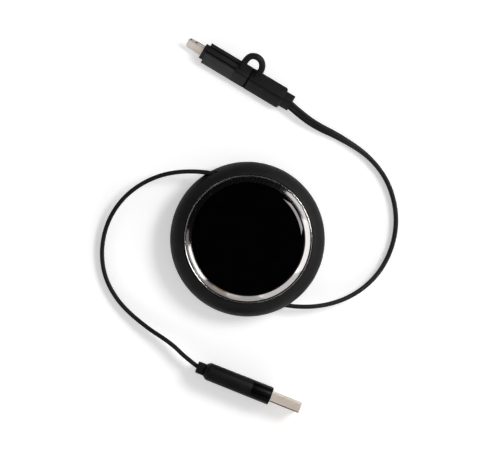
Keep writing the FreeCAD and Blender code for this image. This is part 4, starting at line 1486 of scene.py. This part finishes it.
@dataclass
class Studio:
    """The pale floor, the soft lights, the dim room and the camera."""

    target: Point = (0.00115, 0.0060, 0.008)
    distance: float = 1.6
    west_lean: float = 2.4
    south_lean: float = 0.2
    view_width: float = 0.2123
    sensor: float = 36.0
    floor_size: float = 3.0
    floor_cells: int = 8
    floor_shade: tuple[float, ...] = (0.88, 0.88, 0.88, 1.0)
    floor_roughness: float = 0.9
    floor_lift: float = 0.39
    fade_start: float = 0.16
    fade_end: float = 0.45
    fill: float = 0.30
    room_low: float = 0.05
    room_high: float = 0.002
    room_edge: float = 0.12
    # Azimuth, elevation, distance, width, height and radiance of each panel, and its tint.
    panels: tuple[Panel, ...] = (
        Panel("key_panel", 24.0, 55.5, 1.0, 0.34, 0.30, 14.2),
        Panel("east_panel", -7.5, 30.5, 1.1, 0.88, 0.46, 1.15, (1.0, 0.95, 0.96)),
        Panel("north_east_panel", 32.0, 23.0, 1.1, 0.58, 0.40, 0.8, (1.0, 0.95, 0.96)),
        Panel("south_east_panel", -53.0, 30.5, 1.1, 0.76, 0.46, 0.68, (1.0, 0.95, 0.96)),
        Panel("south_panel", -91.0, 30.5, 1.1, 0.58, 0.46, 0.46, (1.0, 0.95, 0.95)),
        Panel("south_west_panel", 232.5, 27.0, 1.1, 0.70, 0.40, 0.28, (1.0, 0.93, 0.93)),
        Panel("warm_panel", 250.0, 39.0, 1.1, 0.45, 0.20, 0.22, (1.0, 0.76, 0.46)),
        Panel("west_panel", 206.0, 36.5, 1.1, 0.6, 0.19, 1.5),
        Panel("low_west_panel", 195.0, 25.0, 1.1, 0.8, 0.36, 0.2, (1.0, 0.93, 0.90)),
    )

    def camera(self) -> None:
        """The camera, nearly straight above, with +Y up in the picture."""
        data = bpy.data.cameras.new("view")
        data.sensor_width = self.sensor
        data.lens = self.sensor * self.distance / self.view_width
        holder = link("view", data)
        west = math.tan(math.radians(self.west_lean))
        south = math.tan(math.radians(self.south_lean))
        back = Vector((-west, -south, 1.0)).normalized()
        right = Vector((0.0, 1.0, 0.0)).cross(back).normalized()
        place = Vector(self.target) + back * self.distance
        holder.matrix_world = upright(place, right, back.cross(right), back)
        bpy.context.scene.camera = holder

    def floor(self) -> None:
        """The pale floor, which fades to plain white far from the object."""
        bm = bmesh.new()
        cells = self.floor_cells
        bmesh.ops.create_grid(bm, x_segments=cells, y_segments=cells, size=self.floor_size)
        ground = link("floor", mesh_of(bm, "floor"))
        material = bpy.data.materials.new("pale_floor")
        material.use_nodes = True
        bench = NodeBench(material.node_tree)
        rays = bench.add("ShaderNodeLightPath").outputs
        seen = bench.add("ShaderNodeMath", {
            0: rays["Is Camera Ray"], 1: rays["Is Transmission Ray"],
        }, operation="MAXIMUM")
        lift = bench.add("ShaderNodeMath", {
            0: seen.outputs["Value"], 1: self.floor_lift,
        }, operation="MULTIPLY")
        paper = bench.add("ShaderNodeBsdfPrincipled", {
            "Base Color": self.floor_shade, "Roughness": self.floor_roughness,
            "Specular IOR Level": 0.0, "Emission Color": WHITE,
            "Emission Strength": lift.outputs["Value"],
        })
        place = bench.add("ShaderNodeTexCoord")
        reach = bench.add("ShaderNodeVectorMath", {
            0: place.outputs["Object"],
        }, operation="LENGTH")
        fade = bench.add("ShaderNodeMapRange", {
            "Value": reach.outputs["Value"],
            "From Min": self.fade_start, "From Max": self.fade_end,
        }, interpolation_type="SMOOTHSTEP")
        far = bench.add("ShaderNodeMath", {
            0: fade.outputs["Result"], 1: rays["Is Camera Ray"],
        }, operation="MULTIPLY")
        white = bench.add("ShaderNodeEmission")
        mix = bench.add("ShaderNodeMixShader", {
            0: far.outputs["Value"], 1: paper.outputs["BSDF"], 2: white.outputs["Emission"],
        })
        bench.add("ShaderNodeOutputMaterial", {"Surface": mix.outputs["Shader"]})
        ground.data.materials.append(material)

    def room(self) -> None:
        """The world: white to the camera, a dim room in reflections, an even fill elsewhere."""
        world = bpy.data.worlds.new("dim_room")
        world.use_nodes = True
        bpy.context.scene.world = world
        bench = NodeBench(world.node_tree)
        place = bench.add("ShaderNodeTexCoord")
        split = bench.add("ShaderNodeSeparateXYZ", {"Vector": place.outputs["Generated"]})
        dim = bench.add("ShaderNodeMapRange", {
            "Value": split.outputs["Z"], "From Min": 0.0, "From Max": self.room_edge,
            "To Min": self.room_low, "To Max": self.room_high,
        }, interpolation_type="SMOOTHSTEP")
        rays = bench.add("ShaderNodeLightPath").outputs
        glossy = bench.add("ShaderNodeMix", {
            "Factor": rays["Is Glossy Ray"], "A": self.fill, "B": dim.outputs["Result"],
        }, data_type="FLOAT")
        seen = bench.add("ShaderNodeMix", {
            "Factor": rays["Is Camera Ray"], "A": glossy.outputs["Result"], "B": 1.0,
        }, data_type="FLOAT")
        sky = bench.add("ShaderNodeBackground", {
            "Color": WHITE, "Strength": seen.outputs["Result"],
        })
        bench.add("ShaderNodeOutputWorld", {"Surface": sky.outputs["Background"]})

    def build(self) -> None:
        """Set up the camera, the floor, the room and the lights."""
        bpy.context.scene.view_settings.view_transform = "Standard"
        self.camera()
        self.floor()
        self.room()
        for panel in self.panels:
            panel.build(Vector(self.target))


def main() -> None:
    """Build the scene piece by piece."""
    logging.basicConfig(level=logging.INFO, format="%(message)s")
    assemblies = (
        Studio(),
        ReelCase(),
        LidTrim(),
        UsbPlug(USB_LIE),
        PhonePlug(PHONE_LIE),
        Tether(PHONE_LIE),
        FlatLead("usb_lead", "usb_cable", USB_ROUTE, USB_LENGTH, USB_PIECES),
        FlatLead(
            "phone_lead", "phone_cable", PHONE_ROUTE, PHONE_LENGTH, PHONE_PIECES,
            final_lean=PHONE_LIE.roll,
        ),
    )
    for assembly in assemblies:
        assembly.build()
    dress(CARRIED)


if __name__ == "__main__":
    main()
